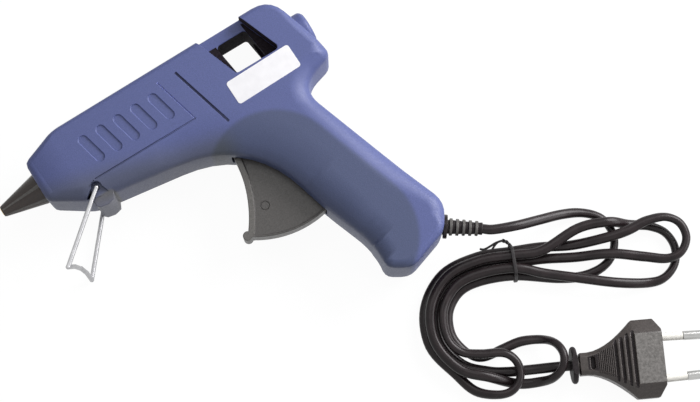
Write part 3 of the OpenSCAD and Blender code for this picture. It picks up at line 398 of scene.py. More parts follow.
def makePinNickel():
    material = newSurface("pinNickel", (0.46, 0.46, 0.45), 0.2, 1.0)
    addMottle(material, (0.43, 0.43, 0.42), (0.49, 0.49, 0.48), 300)
    addGloss(material, 0.14, 0.22, 300)
    addGrain(material, 600, 0.000006, 0.15)
    return material


def makeSleevePlastic():
    material = newSurface("sleevePlastic", (0.74, 0.73, 0.68), 0.42)
    addMottle(material, (0.7, 0.69, 0.64), (0.77, 0.76, 0.71), 500)
    addGloss(material, 0.36, 0.5, 900)
    addGrain(material, 2000, 0.00004, 0.4)
    return material


def makeTurnedBrass():
    material = newSurface("turnedBrass", (0.66, 0.48, 0.2), 0.3, 1.0)
    addGloss(material, 0.22, 0.4, 800, (6, 1, 1))
    addGrain(material, 900, 0.00004, 0.4, 2, (6, 1, 1))
    return material


def makeCastAluminium():
    material = newSurface("castAluminium", (0.62, 0.63, 0.64), 0.5, 1.0)
    addGloss(material, 0.42, 0.6, 900)
    addGrain(material, 1100, 0.00012, 0.6)
    return material


def makeMouldedNylon():
    material = newSurface("mouldedNylon", (0.62, 0.59, 0.5), 0.45)
    addMottle(material, (0.58, 0.55, 0.46), (0.66, 0.63, 0.54), 400)
    addGrain(material, 1800, 0.00006, 0.4)
    return material


def makePressedBoard():
    material = newSurface("pressedBoard", (0.3, 0.25, 0.19), 0.7)
    addMottle(material, (0.24, 0.2, 0.15), (0.37, 0.31, 0.24), 1200)
    addGrain(material, 1500, 0.0001, 0.6)
    return material


def makeFiredCeramic():
    material = newSurface("firedCeramic", (0.75, 0.73, 0.68), 0.55)
    addMottle(material, (0.7, 0.68, 0.62), (0.79, 0.77, 0.72), 700)
    addGrain(material, 1600, 0.00008, 0.5)
    return material


def makeSilicone():
    material = newSurface("redSilicone", (0.42, 0.1, 0.06), 0.6)
    addMottle(material, (0.37, 0.085, 0.05), (0.46, 0.12, 0.075), 500)
    addGrain(material, 1500, 0.00006, 0.4)
    return material


def makeWireSkin(name, dark, light):
    material = newSurface(name, dark, 0.4)
    addMottle(material, dark, light, 500)
    addGrain(material, 1500, 0.00004, 0.3)
    return material


def makeLabelPaper():
    material = newSurface("labelPaper", (0.84, 0.84, 0.86), 0.6, 0.0, 0.2)
    addMottle(material, (0.82, 0.82, 0.84), (0.86, 0.86, 0.88), 300)
    addGloss(material, 0.55, 0.66, 500)
    addGrain(material, 900, 0.00003, 0.4)
    return material


finish = {
    "housing": makeHousingPlastic(),
    "windowShade": makeWindowShade(),
    "trigger": makeTriggerPlastic(),
    "rim": makePaintedHighlight(),
    "cover": makeCoverRubber(),
    "cord": makeCordVinyl(),
    "plug": makePlugVinyl(),
    "panel": makePlugGrainSheen(),
    "groove": makeGrooveShade(),
    "line": makeLineShade(),
    "litLine": makeLineHighlight(),
    "tie": makeTieSkin(),
    "wire": makeBrightWire(),
    "screw": makeScrewSteel(),
    "pin": makePinNickel(),
    "sleeve": makeSleevePlastic(),
    "brass": makeTurnedBrass(),
    "aluminium": makeCastAluminium(),
    "nylon": makeMouldedNylon(),
    "board": makePressedBoard(),
    "ceramic": makeFiredCeramic(),
    "silicone": makeSilicone(),
    "brown": makeWireSkin("brownWireSkin", (0.13, 0.05, 0.02), (0.18, 0.075, 0.03)),
    "blue": makeWireSkin("blueWireSkin", (0.03, 0.1, 0.4), (0.05, 0.14, 0.48)),
    "label": makeLabelPaper(),
}
print("materials made:", len(finish))


# Cord: the route of the construction, in metres, in a frame turned to the photograph's edges

cordShape = {
    "diameter": 0.0044,
    "wide": 0.0045,      # flat two-core lead, across its broad side
    "thin": 0.0037,
    "sides": 14,
    "clear": 0.00005,
    "pitch": 0.0054,
    "layer": 0.0052,
    "tableTurn": -32,
    "bundleCentre": Vector((0.1182, -0.1044)),
    "bundleRadius": 0.0227,
    "bundleRise": 9,
    "bundleArc": 168,
    "bundleTurn": 12,    # the run past the arc bends back by this
    "outerRun": -0.028,
    "arcRuns": [0, 0.014, 0.028, 0.042, 0.056, 0.068],
    "tieRun": 0.015,
    "tieLift": 0.0009,
    "besideTie": 0.5,    # share of the lift on each side of the tie
    "wideFold": 2.9,
    "fold": 2.1,
    "plugPlace": Vector((0.1539, -0.1251)),
    "plugTurn": 5,
    "plugHeight": 0.00685,
    "straightEnd": 0.005,
    "exit": Vector((0.062612, -0.1173, 0.017)),
    "exitHeading": Vector((0.8161, -0.5779, 0)),
    "steps": 7,
    "length": 1.0301,
    "bendReach": 4,      # rings on each side between which a bend is measured
    "bendFrom": 30,      # bend, in radians per metre, where the lead starts to stand up
    "bendSpan": 45,
    "evenReach": 9,
    "noLength": 1e-6,
    "smooth": 50,
}
cordRadius = cordShape["diameter"] / 2
floorZ = cordRadius + cordShape["clear"]
secondZ = floorZ + cordShape["layer"]


def bundleAt(out, run, height):
    centre, rise = cordShape["bundleCentre"], cordShape["bundleRise"]
    radius, arc = cordShape["bundleRadius"] + out, cordShape["bundleArc"]
    arcLength = math.radians(arc) * cordShape["bundleRadius"]
    if run < 0:
        flat = centre + radius * heading(90 + rise) - run * heading(rise)
    elif run > arcLength:
        past = run - arcLength
        flat = centre + radius * heading(90 + arc + rise) + past * heading(rise - cordShape["bundleTurn"])
    else:
        flat = centre + radius * heading(90 + rise + arc * run / arcLength)
    return Vector((*flat, height))


def passOf(out, height, first, last):
    outer, tie, beside = cordShape["outerRun"], -cordShape["tieRun"], cordShape["besideTie"]
    lift = {outer: beside, tie: 1, 0: beside}
    runs = [outer, tie] + cordShape["arcRuns"]
    return [bundleAt(out, run, height + cordShape["tieLift"] * lift.get(run, 0))
            for run in runs if first <= run <= last]


def foldOf(centre, radius, first, last, count, startZ, endZ, hump):
    places = []
    for k in range(count):
        u = k / (count - 1)
        flat = Vector(centre) + radius * heading(first + (last - first) * u)
        places.append(Vector((*flat, startZ + (endZ - startZ) * u + hump * math.sin(math.pi * u))))
    return places


def points(*places):
    return [Vector(place) for place in places]


def onTable(place):
    turn = heading(cordShape["tableTurn"])
    return Vector((turn.x * place.x - turn.y * place.y, turn.y * place.x + turn.x * place.y, place.z))


def cordRoute():
    pitch, tie, outer = cordShape["pitch"], -cordShape["tieRun"], cordShape["outerRun"]
    wide, tight = cordShape["wideFold"] * cordShape["diameter"], cordShape["fold"] * cordShape["diameter"]
    lead = points((0.131, -0.0644, 0.015), (0.141, -0.0612, 0.0104), (0.151, -0.058, 0.0052),
                  (0.16, -0.0568, 0.0027), (0.1683, -0.0587, floorZ), (0.1732, -0.064, floorZ),
                  (0.1747, -0.07, floorZ), (0.173, -0.0768, floorZ), (0.168, -0.0819, floorZ),
                  (0.16, -0.0852, floorZ))
    hank = points((0.149, -0.086, floorZ))
    hank += passOf(-pitch, floorZ, tie, 0.056)
    hank += points((0.116, -0.121, floorZ), (0.1245, -0.1174, floorZ), (0.133, -0.114, floorZ + 0.0005))
    hank += foldOf((0.1412, -0.1226), tight, 84, -92, 6, floorZ + 0.002, floorZ + 0.0016, 0.0086)
    hank += points((0.131, -0.1326, floorZ))
    hank += reversed(passOf(0.56 * pitch, secondZ, outer, 0.068))
    hank += points((0.158, -0.0646, secondZ), (0.1715, -0.0618, secondZ + 0.0009),
                   (0.181, -0.0622, floorZ + 0.0011))
    hank += foldOf((0.189, -0.0754), wide, 84, -90, 6, floorZ, floorZ + 0.0008, 0)
    hank += points((0.175, -0.0886, secondZ - 0.0005), (0.158, -0.0866, secondZ), (0.143, -0.0846, secondZ))
    hank += passOf(-pitch / 2, secondZ, tie, 0.042)
    hank += points((0.106, -0.119, secondZ), (0.1145, -0.12, secondZ))
    hank += foldOf((0.1226, -0.1286), tight, 78, -94, 5, secondZ, secondZ, 0)
    hank += points((0.1125, -0.136, floorZ + 0.002))
    hank += reversed(passOf(pitch, floorZ, outer, 0.056))
    hank += points((0.156, -0.0714, floorZ + 0.001), (0.171, -0.0686, secondZ + 0.0008),
                   (0.18, -0.0656, secondZ + 0.0014), (0.188, -0.0614, secondZ + 0.0012))
    hank += foldOf((0.1964, -0.0688), tight, 90, -86, 5, secondZ + 0.0008, secondZ + 0.0005, 0)
    hank += points((0.187, -0.0772, secondZ + 0.0003), (0.172, -0.0758, secondZ + 0.0002),
                   (0.157, -0.0768, floorZ + 0.001))
    hank += passOf(0, floorZ, outer, 0.068)
    plugPlace, plugAxis = cordShape["plugPlace"], heading(cordShape["plugTurn"])
    tail = points((0.127, -0.1274, floorZ), (0.137, -0.1265, 0.003), (0.144, -0.1259, 0.0052),
                  (*(plugPlace - cordShape["straightEnd"] * plugAxis), cordShape["plugHeight"]),
                  (*plugPlace, cordShape["plugHeight"]))
    start, ahead = cordShape["exit"], cordShape["exitHeading"]
    straightOut = [start, start + cordShape["straightEnd"] * ahead]
    return straightOut + [onTable(place) for place in lead + hank + tail]


def smoothRun(route, steps):
    ends = [2 * route[0] - route[1]] + route + [2 * route[-1] - route[-2]]
    run = []
    for i in range(1, len(route)):
        a, b, c, d = ends[i - 1:i + 3]
        for k in range(steps):
            u = k / steps
            run.append(0.5 * (2 * b + (c - a) * u + (2 * a - 5 * b + 4 * c - d) * u ** 2
                              + (3 * b - 3 * c + d - a) * u ** 3))
    run.append(route[-1])
    return [Vector((p.x, p.y, max(p.z, floorZ))) for p in run]


# The flat lead lies on its broad side where it runs straight and stands on edge where it turns
def edgeTurns(run):
    turns = []
    reach, least = cordShape["bendReach"], cordShape["noLength"]
    for i, place in enumerate(run):
        before, after = run[max(i - reach, 0)], run[min(i + reach, len(run) - 1)]
        first, second = (place - before).to_2d(), (after - place).to_2d()
        bend = 0
        if first.length > least and second.length > least:
            bend = abs(first.angle(second)) / (0.5 * (first.length + second.length))
        turns.append(min(max((bend - cordShape["bendFrom"]) / cordShape["bendSpan"], 0), 1))
    reach = cordShape["evenReach"]
    spans = [turns[max(i - reach, 0):i + reach + 1] for i in range(len(run))]
    return [sum(span) / len(span) for span in spans]


def makeCord():
    run = smoothRun(cordRoute(), cordShape["steps"])
    turns = edgeTurns(run)
    sides, places, faces = cordShape["sides"], [], []
    for i, place in enumerate(run):
        along = (run[min(i + 1, len(run) - 1)] - run[max(i - 1, 0)]).normalized()
        aside = along.cross(Vector((0, 0, 1))).normalized()
        over = aside.cross(along)
        roll = turns[i] * math.pi / 2
        broad = math.cos(roll) * aside + math.sin(roll) * over
        narrow = math.cos(roll) * over - math.sin(roll) * aside
        for k in range(sides):
            angle = 2 * math.pi * k / sides
            places.append(place + math.cos(angle) * broad * cordShape["wide"] / 2
                          + math.sin(angle) * narrow * cordShape["thin"] / 2)
    for i in range(len(run) - 1):
        for k in range(sides):
            a, b = i * sides + k, i * sides + (k + 1) % sides
            faces.append((a, b, b + sides, a + sides))
    faces.append(tuple(range(sides - 1, -1, -1)))
    faces.append(tuple((len(run) - 1) * sides + k for k in range(sides)))
    mesh = bpy.data.meshes.new("mainsCord")
    mesh.from_pydata(places, [], faces)
    cord = bpy.data.objects.new("mainsCord", mesh)
    scene.collection.objects.link(cord)
    makeActive(cord)
    bpy.ops.object.mode_set(mode="EDIT")
    bpy.ops.mesh.select_all(action="SELECT")
    bpy.ops.mesh.normals_make_consistent(inside=False)
    bpy.ops.object.mode_set(mode="OBJECT")
    bpy.ops.object.shade_smooth_by_angle(angle=math.radians(cordShape["smooth"]))
    dress(cord, finish["cord"], "housing")
    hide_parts("cord_lead", "cord_hank", "cord_tail")
    return cord, run


mainsCord, cordRun = makeCord()
print("cord laid:", len(cordRun), "rings")


# Twist tie round the hank: a flat band and the two twisted ends that stand up beside it

tieShape = {
    "bandWide": 0.0005,
    "bandRound": 0.00026,
    "endRound": 0.0005,
    "twistSpread": 0.00042,
    "twistTurns": 1.6,
    "twistSteps": 6,
    "smooth": 50,
    "section": [(-0.0081, 0.001), (-0.0074, 0.0004), (0.0074, 0.0004), (0.0081, 0.001), (0.0082, 0.0046),
                (0.0077, 0.0062), (0.006, 0.0102), (0.0049, 0.0111), (-0.0049, 0.0111), (-0.006, 0.0102),
                (-0.0077, 0.0062), (-0.0082, 0.0046)],
    "twist": [(0.1288, -0.0738, 0.0072), (0.1278, -0.0722, 0.0085), (0.1264, -0.071, 0.0094),
              (0.1247, -0.0704, 0.0097)],
    "longEnd": [(0.1247, -0.0704, 0.0097), (0.1222, -0.0709, 0.0095), (0.1192, -0.0728, 0.0089),
                (0.1172, -0.0739, 0.0083), (0.1159, -0.0742, 0.008), (0.1147, -0.0738, 0.0078)],
    "shortEnd": [(0.1247, -0.0704, 0.0097), (0.1229, -0.0706, 0.0094), (0.1212, -0.0722, 0.0087),
                 (0.1201, -0.0741, 0.0082)],
}


lineSetup = {"around": 3, "along": 6, "order": 3}


def makeLine(name, places, radius, closed=False, wide=0.0, flat=False):
    curve = bpy.data.curves.new(name, "CURVE")
    curve.dimensions = "2D" if flat else "3D"
    curve.fill_mode = "NONE" if flat else "FULL"
    curve.bevel_depth = radius
    curve.bevel_resolution = lineSetup["around"]
    curve.extrude = wide
    curve.use_fill_caps = not closed
    curve.resolution_u = lineSetup["along"]
    spline = curve.splines.new("NURBS")
    spline.points.add(len(places) - 1)
    for point, place in zip(spline.points, places):
        point.co = (*place, 1)
    spline.use_cyclic_u = closed
    spline.use_endpoint_u = not closed
    spline.order_u = lineSetup["order"]
    line = bpy.data.objects.new(name, curve)
    scene.collection.objects.link(line)
    return line


def toMesh(line):
    makeActive(line)
    bpy.ops.object.convert(target="MESH")
    bpy.ops.object.transform_apply(location=True, rotation=True, scale=True)
    return bpy.context.object


def twisted(places, phase):
    line, steps = [], tieShape["twistSteps"]
    for i, place in enumerate(smoothRun(places, steps)):
        angle = phase + tieShape["twistTurns"] * 2 * math.pi * i / (steps * (len(places) - 1))
        line.append(place + tieShape["twistSpread"] * Vector((0, math.cos(angle), math.sin(angle))))
    return line


def makeTie():
    band = makeLine("twistTie", [(x, z, 0) for x, z in tieShape["section"]], tieShape["bandRound"],
                    True, tieShape["bandWide"], True)
    middle = onTable(bundleAt(0, -cordShape["tieRun"], 0))
    run = math.radians(cordShape["tableTurn"] + cordShape["bundleRise"] + 90)
    band.rotation_euler = (math.pi / 2, 0, run)
    band.location = middle
    pieces = [toMesh(band)]
    twist = points(*tieShape["twist"])
    for phase in (0, math.pi):
        pair = [onTable(p) for p in twisted(twist, phase)]
        pieces.append(toMesh(makeLine("tieTwist", pair, tieShape["endRound"])))
    for name in ("longEnd", "shortEnd"):
        pieces.append(toMesh(makeLine("tieEnd", [onTable(p) for p in points(*tieShape[name])],
                                      tieShape["endRound"])))
    deselectAll()
    for piece in pieces:
        piece.select_set(True)
    bpy.context.view_layer.objects.active = pieces[0]
    bpy.ops.object.join()
    bpy.ops.object.shade_smooth_by_angle(angle=math.radians(tieShape["smooth"]))
    dress(pieces[0], finish["tie"], "housing")
    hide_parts("cord_tie")
    return pieces[0]


twistTie = makeTie()
print("twist tie made")


# Return spring: a wound wire that the trigger presses together as it swings

springShape = {
    "seat": Vector((0.0086, -0.0517, 0.017)),
    "heading": 8,
    "pressed": 30.2,
    "length": 0.013,
    "across": 0.007,
    "wire": 0.0009,
    "turns": 7,
    "steps": 20,
    "keep": 0.48,
    "smooth": 50,
}


def makeSpring():
    along = Vector((*heading(springShape["heading"]), 0))
    beside = Vector((*heading(springShape["heading"] + 90), 0))
    count = springShape["turns"] * springShape["steps"]
    reach = springShape["length"] - springShape["wire"]
    coil = []
    for k in range(count + 1):
        angle = 2 * math.pi * k / springShape["steps"]
        out = math.sin(angle) * beside - math.cos(angle) * Vector((0, 0, 1))
        run = springShape["wire"] / 2 + reach * k / count
        coil.append(springShape["seat"] + run * along + springShape["across"] / 2 * out)
    spring = toMesh(makeLine("returnSpring", coil, springShape["wire"] / 2))
    bpy.ops.object.shade_smooth_by_angle(angle=math.radians(springShape["smooth"]))
    dress(spring, finish["screw"], "housing")
    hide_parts("return_spring")
    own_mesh(spring)


makeSpring()
print("return spring wound")


# Moulded, turned and bent pieces: each a merged copy of its solid with its edges softened

softening = {
    "merge": 0.000004,
    "level": 0.4,        # degrees below which neighbouring faces count as one
    "across": 0.35,      # least slant of an edge that limits its neighbour
    "room": 0.4,
    "seamNear": 0.00003,
    "seamWeight": 0.15,
}


def smoothCopy(name, setup):
    source = cadNodes[setup["node"]]
    piece = bpy.data.objects.new(name, source.data.copy())
    scene.collection.objects.link(piece)
    makeActive(piece)
    bpy.ops.mesh.customdata_custom_splitnormals_clear()
    bpy.ops.object.mode_set(mode="EDIT")
    bpy.ops.mesh.select_all(action="SELECT")
    bpy.ops.mesh.remove_doubles(threshold=softening["merge"])
    bpy.ops.mesh.dissolve_limited(angle_limit=math.radians(softening["level"]), delimit={"NORMAL"})
    bpy.ops.object.mode_set(mode="OBJECT")
    bpy.ops.object.shade_smooth_by_angle(angle=math.radians(setup["corner"]))
    weighEdges(piece, setup["bevel"], setup["corner"], setup.get("seam"))
    bevel = piece.modifiers.new("softEdges", "BEVEL")
    bevel.width = setup["bevel"]
    bevel.segments = setup["segments"]
    bevel.limit_method = "WEIGHT"
    bevel.use_clamp_overlap = False
    bevel.miter_outer = "MITER_ARC" if setup["segments"] > 1 else "MITER_SHARP"
    applyAll(piece)
    drawBack(piece, source, setup["bevel"] / 2)
    normals = piece.modifiers.new("evenShade", "WEIGHTED_NORMAL")
    normals.keep_sharp = True
    applyAll(piece)
    dress(piece, finish[setup["finish"]], source["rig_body"])
    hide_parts(setup["node"])
    return piece


# A rounded corner that overshoots goes back to the surface of its solid
def drawBack(piece, source, reach):
    for vert in piece.data.vertices:
        found, place = source.closest_point_on_mesh(vert.co)[:2]
        if found and (place - vert.co).length > reach:
            vert.co = place


# Each sharp edge is rounded as far as the short edges beside it leave room
def weighEdges(piece, width, corner, seam=None):
    mesh = bmesh.new()
    mesh.from_mesh(piece.data)
    layers = mesh.edges.layers.float
    weight = layers.get("bevel_weight_edge") or layers.new("bevel_weight_edge")
    limit = math.radians(corner)
    for edge in mesh.edges:
        if len(edge.link_faces) != 2 or edge.calc_face_angle(0) < limit:
            continue
        room = 1.0
        along = (edge.verts[1].co - edge.verts[0].co).normalized()
        for vert in edge.verts:
            for other in vert.link_edges:
                if other is edge:
                    continue
                across = other.other_vert(vert).co - vert.co
                slant = across.cross(along).length
                if slant > softening["across"] * across.length:
                    room = min(room, slant)
        edge[weight] = min(1.0, softening["room"] * room / width)
        if seam is not None and all(abs(vert.co.z - seam) < softening["seamNear"] for vert in edge.verts):
            edge[weight] = min(edge[weight], softening["seamWeight"])
    mesh.to_mesh(piece.data)
    mesh.free()


# Painted shade: the walls of the sight window, and the inside of the housing seen through it, are painted
# dark
windowBox = {
    "low": (0.0035, -0.0062),
    "high": (0.0292, 0.0122),
    "inner": (0.0085, 0.0255),
    "upright": 0.35,
}


def shadeWindow(shell):
    windowShade = addFinish(shell, "windowShade")
    low, high = windowBox["low"], windowBox["high"]
    innerLow, innerHigh = windowBox["inner"]
    for face in shell.data.polygons:
        inside = low[0] < face.center.x < high[0] and low[1] < face.center.y < high[1]
        within = innerLow < face.center.z < innerHigh
        if inside and (within or abs(face.normal.z) < windowBox["upright"]):
            face.material_index = windowShade


# Painted shade and highlight: the fine lines moulded into both sides are painted dark, apart from one
# painted pale where it catches the light
sideLines = {
    "depth": (0.00002, 0.0006),
    "lines": [
        (Vector((-0.069, -0.0127)), Vector((-0.0188, -0.0127)), 0.00032, "line"),
        (Vector((-0.0157, 0.0092)), Vector((-0.0071, -0.0214)), 0.00058, "line"),
        (Vector((-0.0189, -0.0123)), Vector((-0.0247, 0.0094)), 0.00032, "litLine"),
    ],
}


def fromLine(place, first, last):
    run = last - first
    share = min(max((place - first).dot(run) / run.length_squared, 0), 1)
    return (place - first - share * run).length


def shadeLines(shell):
    groove = {name: addFinish(shell, name) for name in ("line", "litLine")}
    shallow, deep = sideLines["depth"]
    for face in shell.data.polygons:
        depth = min(face.center.z - cadLow[2], cadHigh[2] - face.center.z)
        if not shallow < depth < deep:
            continue
        place = face.center.xy
        for first, last, half, name in sideLines["lines"]:
            if fromLine(place, first, last) < half:
                face.material_index = groove[name]


def markShell(shell):
    shadeWindow(shell)
    shadeLines(shell)


# Painted shade: dark strips beside the hole on the bar between the two recesses, and a painted shadow in
# the bar's right-hand corner
windowShadowStrips = {
    "low": -0.005,
    "high": 0.0114,
    "recess": {"left": 0.00521, "right": 0.02671, "slant": 0.38},
    "hole": {"left": 0.0072, "right": 0.022, "slant": 0.14},
    "corner": {"right": 0.0256, "slant": 0.38},
    "top": 0.0145,
    "middle": 0.017,
    "bar": 0.0095,
    "thick": 0.0001,
}


def makeWindowShadowStrips():
    def edgePoint(edge, side, y, z):
        return (edge[side] - edge["slant"] * y, y, z)

    places, faces = [], []
    low, high = windowShadowStrips["low"], windowShadowStrips["high"]
    for turn in (1, -1):
        z = windowShadowStrips["middle"] + turn * (windowShadowStrips["bar"] + windowShadowStrips["thick"])
        for side in ("left", "right"):
            first = len(places)
            for edge, y in (("recess", low), ("hole", low), ("hole", high), ("recess", high)):
                places.append(edgePoint(windowShadowStrips[edge], side, y, z))
            faces.append(tuple(range(first, first + 4)))
        first = len(places)
        for edge, y in (("hole", high), ("corner", windowShadowStrips["top"]), ("recess", windowShadowStrips["top"]),
                        ("recess", high)):
            places.append(edgePoint(windowShadowStrips[edge], "right", y, z))
        faces.append(tuple(range(first, first + 4)))
    mesh = bpy.data.meshes.new("windowShadowStrips")
    mesh.from_pydata(places, [], faces)
    strips = bpy.data.objects.new("windowShadowStrips", mesh)
    scene.collection.objects.link(strips)
    sheet = strips.modifiers.new("sheet", "SOLIDIFY")
    sheet.thickness = windowShadowStrips["thick"]
    sheet.offset = 0
    applyAll(strips)
    strips.data.materials.append(finish["windowShade"])
    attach(strips, "housing")


makeWindowShadowStrips()
nearShell = {"node": "left_shell", "bevel": 0.0003, "segments": 2, "corner": 52, "seam": 0.017,
             "finish": "housing", "slot": "blue_housing"}
markShell(smoothCopy("nearShell", nearShell))
farShell = {"node": "right_shell", "bevel": 0.0003, "segments": 2, "corner": 52, "seam": 0.017,
            "finish": "housing", "slot": "blue_housing"}
markShell(smoothCopy("farShell", farShell))
inletRing = {"node": "inlet_collar", "bevel": 0.0003, "segments": 2, "corner": 32,
             "finish": "housing", "slot": "blue_housing"}
smoothCopy("inletRing", inletRing)
coverBoot = {"node": "nozzle_cover", "bevel": 0.0003, "segments": 2, "corner": 30,
             "finish": "cover", "slot": "black_rubber"}
# Painted highlight: six lighter stripes along the cover stand for low ribs that catch the light
coverHighlightStripes = {"count": 6, "half": 5.7, "outward": 0.5}


def paintCoverStripes(cover):
    highlightIndex = addFinish(cover, "rim")
    apart = 360 / coverHighlightStripes["count"]
    for face in cover.data.polygons:
        angle = math.degrees(math.atan2(face.normal.y, face.normal.z)) % apart
        if abs(face.normal.x) < coverHighlightStripes["outward"] and min(angle, apart - angle) < coverHighlightStripes["half"]:
            face.material_index = highlightIndex


paintCoverStripes(smoothCopy("coverBoot", coverBoot))
nozzleTip = {"node": "nozzle", "bevel": 0.0002, "segments": 2, "corner": 30,
             "finish": "brass", "slot": "brass"}
smoothCopy("nozzleTip", nozzleTip)
# Painted highlight: the raised front rim of the trigger is painted lighter, and it is also glossier
triggerRim = {"below": -0.036, "band": 0.0002}


def paintRimHighlight(trigger):
    highlightIndex = addFinish(trigger, "rim")
    blade = [vert.co.z for vert in trigger.data.vertices if vert.co.y < triggerRim["below"]]
    low, high = min(blade) + triggerRim["band"], max(blade) - triggerRim["band"]
    for face in trigger.data.polygons:
        if face.center.y < triggerRim["below"] and not low < face.center.z < high:
            face.material_index = highlightIndex


fingerTrigger = {"node": "trigger", "bevel": 0.0003, "segments": 2, "corner": 30,
                 "finish": "trigger", "slot": "grey_trigger"}
paintRimHighlight(smoothCopy("fingerTrigger", fingerTrigger))
benchStand = {"node": "wire_stand", "bevel": 0.0001, "segments": 1, "corner": 60,
              "finish": "wire", "slot": "plated_wire"}
smoothCopy("benchStand", benchStand)
caseScrews = {"node": "case_screws", "bevel": 0.0002, "segments": 2, "corner": 30,
              "finish": "screw", "slot": "steel"}
smoothCopy("caseScrews", caseScrews)
cordRelief = {"node": "strain_relief", "bevel": 0.00025, "segments": 2, "corner": 30,
              "finish": "cord", "slot": "black_rubber"}
# Painted highlight and shade: the crests of the relief's ribs are painted paler and the slots between them
# darker
reliefRibs = {"first": -0.0146, "pitch": 0.0028, "crest": (0.0001, 0.0015), "count": 5, "outward": 0.8}


def paintReliefRibs(relief):
    highlightIndex = addFinish(relief, "rim")
    shaded = addFinish(relief, "groove")
    axis, tip = cordShape["exitHeading"], cordShape["exit"]
    low, high = reliefRibs["crest"]
    for face in relief.data.polygons:
        along = (face.center - tip).dot(axis) - reliefRibs["first"]
        if not 0 < along < reliefRibs["count"] * reliefRibs["pitch"]:
            continue
        out = (face.center - tip) - (face.center - tip).dot(axis) * axis
        if out.normalized().dot(face.normal) < reliefRibs["outward"]:
            continue
        onCrest = low < along % reliefRibs["pitch"] < high
        face.material_index = highlightIndex if onCrest else shaded


paintReliefRibs(smoothCopy("cordRelief", cordRelief))
# The broad faces of the plug's head have a moulded grain and a lighter colour that is painted sheen from
# the lamp above; its grooves and slot are painted dark as shade, and its collar gets the same dark finish
plugMarks = {
    "panelFrom": 0.0285,
    "grooves": [(0.0194 + 0.0026 * k, 0.00055) for k in range(4)]
               + [(0.0117 + 0.0008 * k, 0.00016) for k in range(9)],
    "slot": (0.0092, 0.001, 0.00285),
    "collarTo": 0.0027,
    "level": 0.95,
    "sideways": 0.5,
}


def inGroove(along, across):
    slotAt, slotHalf, slotReach = plugMarks["slot"]
    if abs(along - slotAt) < slotHalf and abs(across) < slotReach:
        return True
    return any(abs(along - middle) < half for middle, half in plugMarks["grooves"])


def markPlug(plug):
    grainSheen = addFinish(plug, "panel")
    shaded = addFinish(plug, "groove")
    axis = onTable(Vector((*heading(cordShape["plugTurn"]), 0)))
    beside = onTable(Vector((*heading(cordShape["plugTurn"] + 90), 0)))
    collar = onTable(Vector((*cordShape["plugPlace"], 0)))
    for face in plug.data.polygons:
        along, across = (face.center - collar).dot(axis), (face.center - collar).dot(beside)
        if abs(face.normal.z) > plugMarks["level"] and along > plugMarks["panelFrom"]:
            face.material_index = grainSheen
        elif along < plugMarks["collarTo"]:
            face.material_index = shaded
        elif inGroove(along, across) and abs(face.normal.dot(beside)) < plugMarks["sideways"]:
            face.material_index = shaded


plugBody = {"node": "plug_body", "bevel": 0.0004, "segments": 2, "corner": 24,
            "finish": "plug", "slot": "plug_rubber"}
mainsPlug = smoothCopy("mainsPlug", plugBody)
markPlug(mainsPlug)
plugPins = {"node": "plug_pins", "bevel": 0.0003, "segments": 2, "corner": 30,
            "finish": "pin", "slot": "plated_wire"}
contactPins = smoothCopy("contactPins", plugPins)
pinSleeves = {"node": "pin_sleeves", "bevel": 0.0002, "segments": 2, "corner": 30,
              "finish": "sleeve", "slot": "pin_insulation"}
pinJackets = smoothCopy("pinJackets", pinSleeves)
print("moulded pieces softened")


# Bare white label on the near side

labelShape = {
    "middle": (0.0164, -0.0117, 0.034),
    "size": (0.0318, 0.0113),
    "turn": 1.3,
    "corner": 0.0013,
    "cornerSteps": 6,
    "thick": 0.00012,
    "edge": 0.00004,
    "edgeSteps": 2,
    "smooth": 20,
}


def makeLabel():
    deselectAll()
    bpy.ops.mesh.primitive_plane_add(size=1, location=labelShape["middle"])
    label = bpy.context.object
    label.name = "sideLabel"
    label.scale = (*labelShape["size"], 1)
    label.rotation_euler.z = math.radians(labelShape["turn"])
    bpy.ops.object.transform_apply(location=True, rotation=True, scale=True)
    bpy.ops.object.mode_set(mode="EDIT")
    bpy.ops.mesh.select_all(action="SELECT")
    bpy.ops.mesh.bevel(offset=labelShape["corner"], segments=labelShape["cornerSteps"], affect="VERTICES")
    bpy.ops.object.mode_set(mode="OBJECT")
    sheet = label.modifiers.new("sheet", "SOLIDIFY")
    sheet.thickness = labelShape["thick"]
    sheet.offset = 1
    edge = label.modifiers.new("cutEdge", "BEVEL")
    edge.width = labelShape["edge"]
    edge.segments = labelShape["edgeSteps"]
    applyAll(label)
    bpy.ops.object.shade_smooth_by_angle(angle=math.radians(labelShape["smooth"]))
    label.data.materials.append(finish["label"])
    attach(label, "housing")


makeLabel()
print("label placed")


# Inner pieces keep their solids and get their own finish

innerFinish = {
    "melt_chamber": "aluminium",
    "heater_element": "ceramic",
    "heater_electrodes": "brass",
    "heater_clip": "screw",
    "front_support": "board",
    "rear_support": "board",
    "inlet_sleeve": "silicone",
    "sleeve_clip": "screw",
    "feed_carriage": "nylon",
    "grip_jaw": "screw",
    "jaw_pin": "pin",
    "trigger_pin": "pin",
    "cord_clamp": "nylon",
    "clamp_screws": "screw",
    "live_lead": "brown",
    "neutral_lead": "blue",
    "lead_crimps": "pin",
    "cord_entry": "cord",
}
for nodeName, finishName in innerFinish.items():
    node = cadNodes[nodeName]
    node.data.materials.clear()
    node.data.materials.append(finish[finishName])
print("inner pieces finished:", len(innerFinish))


# Studio: white floor and surround, a key lamp from the picture's upper right, a side lamp from its right,
# a weak fill from its lower edge and a lamp overhead

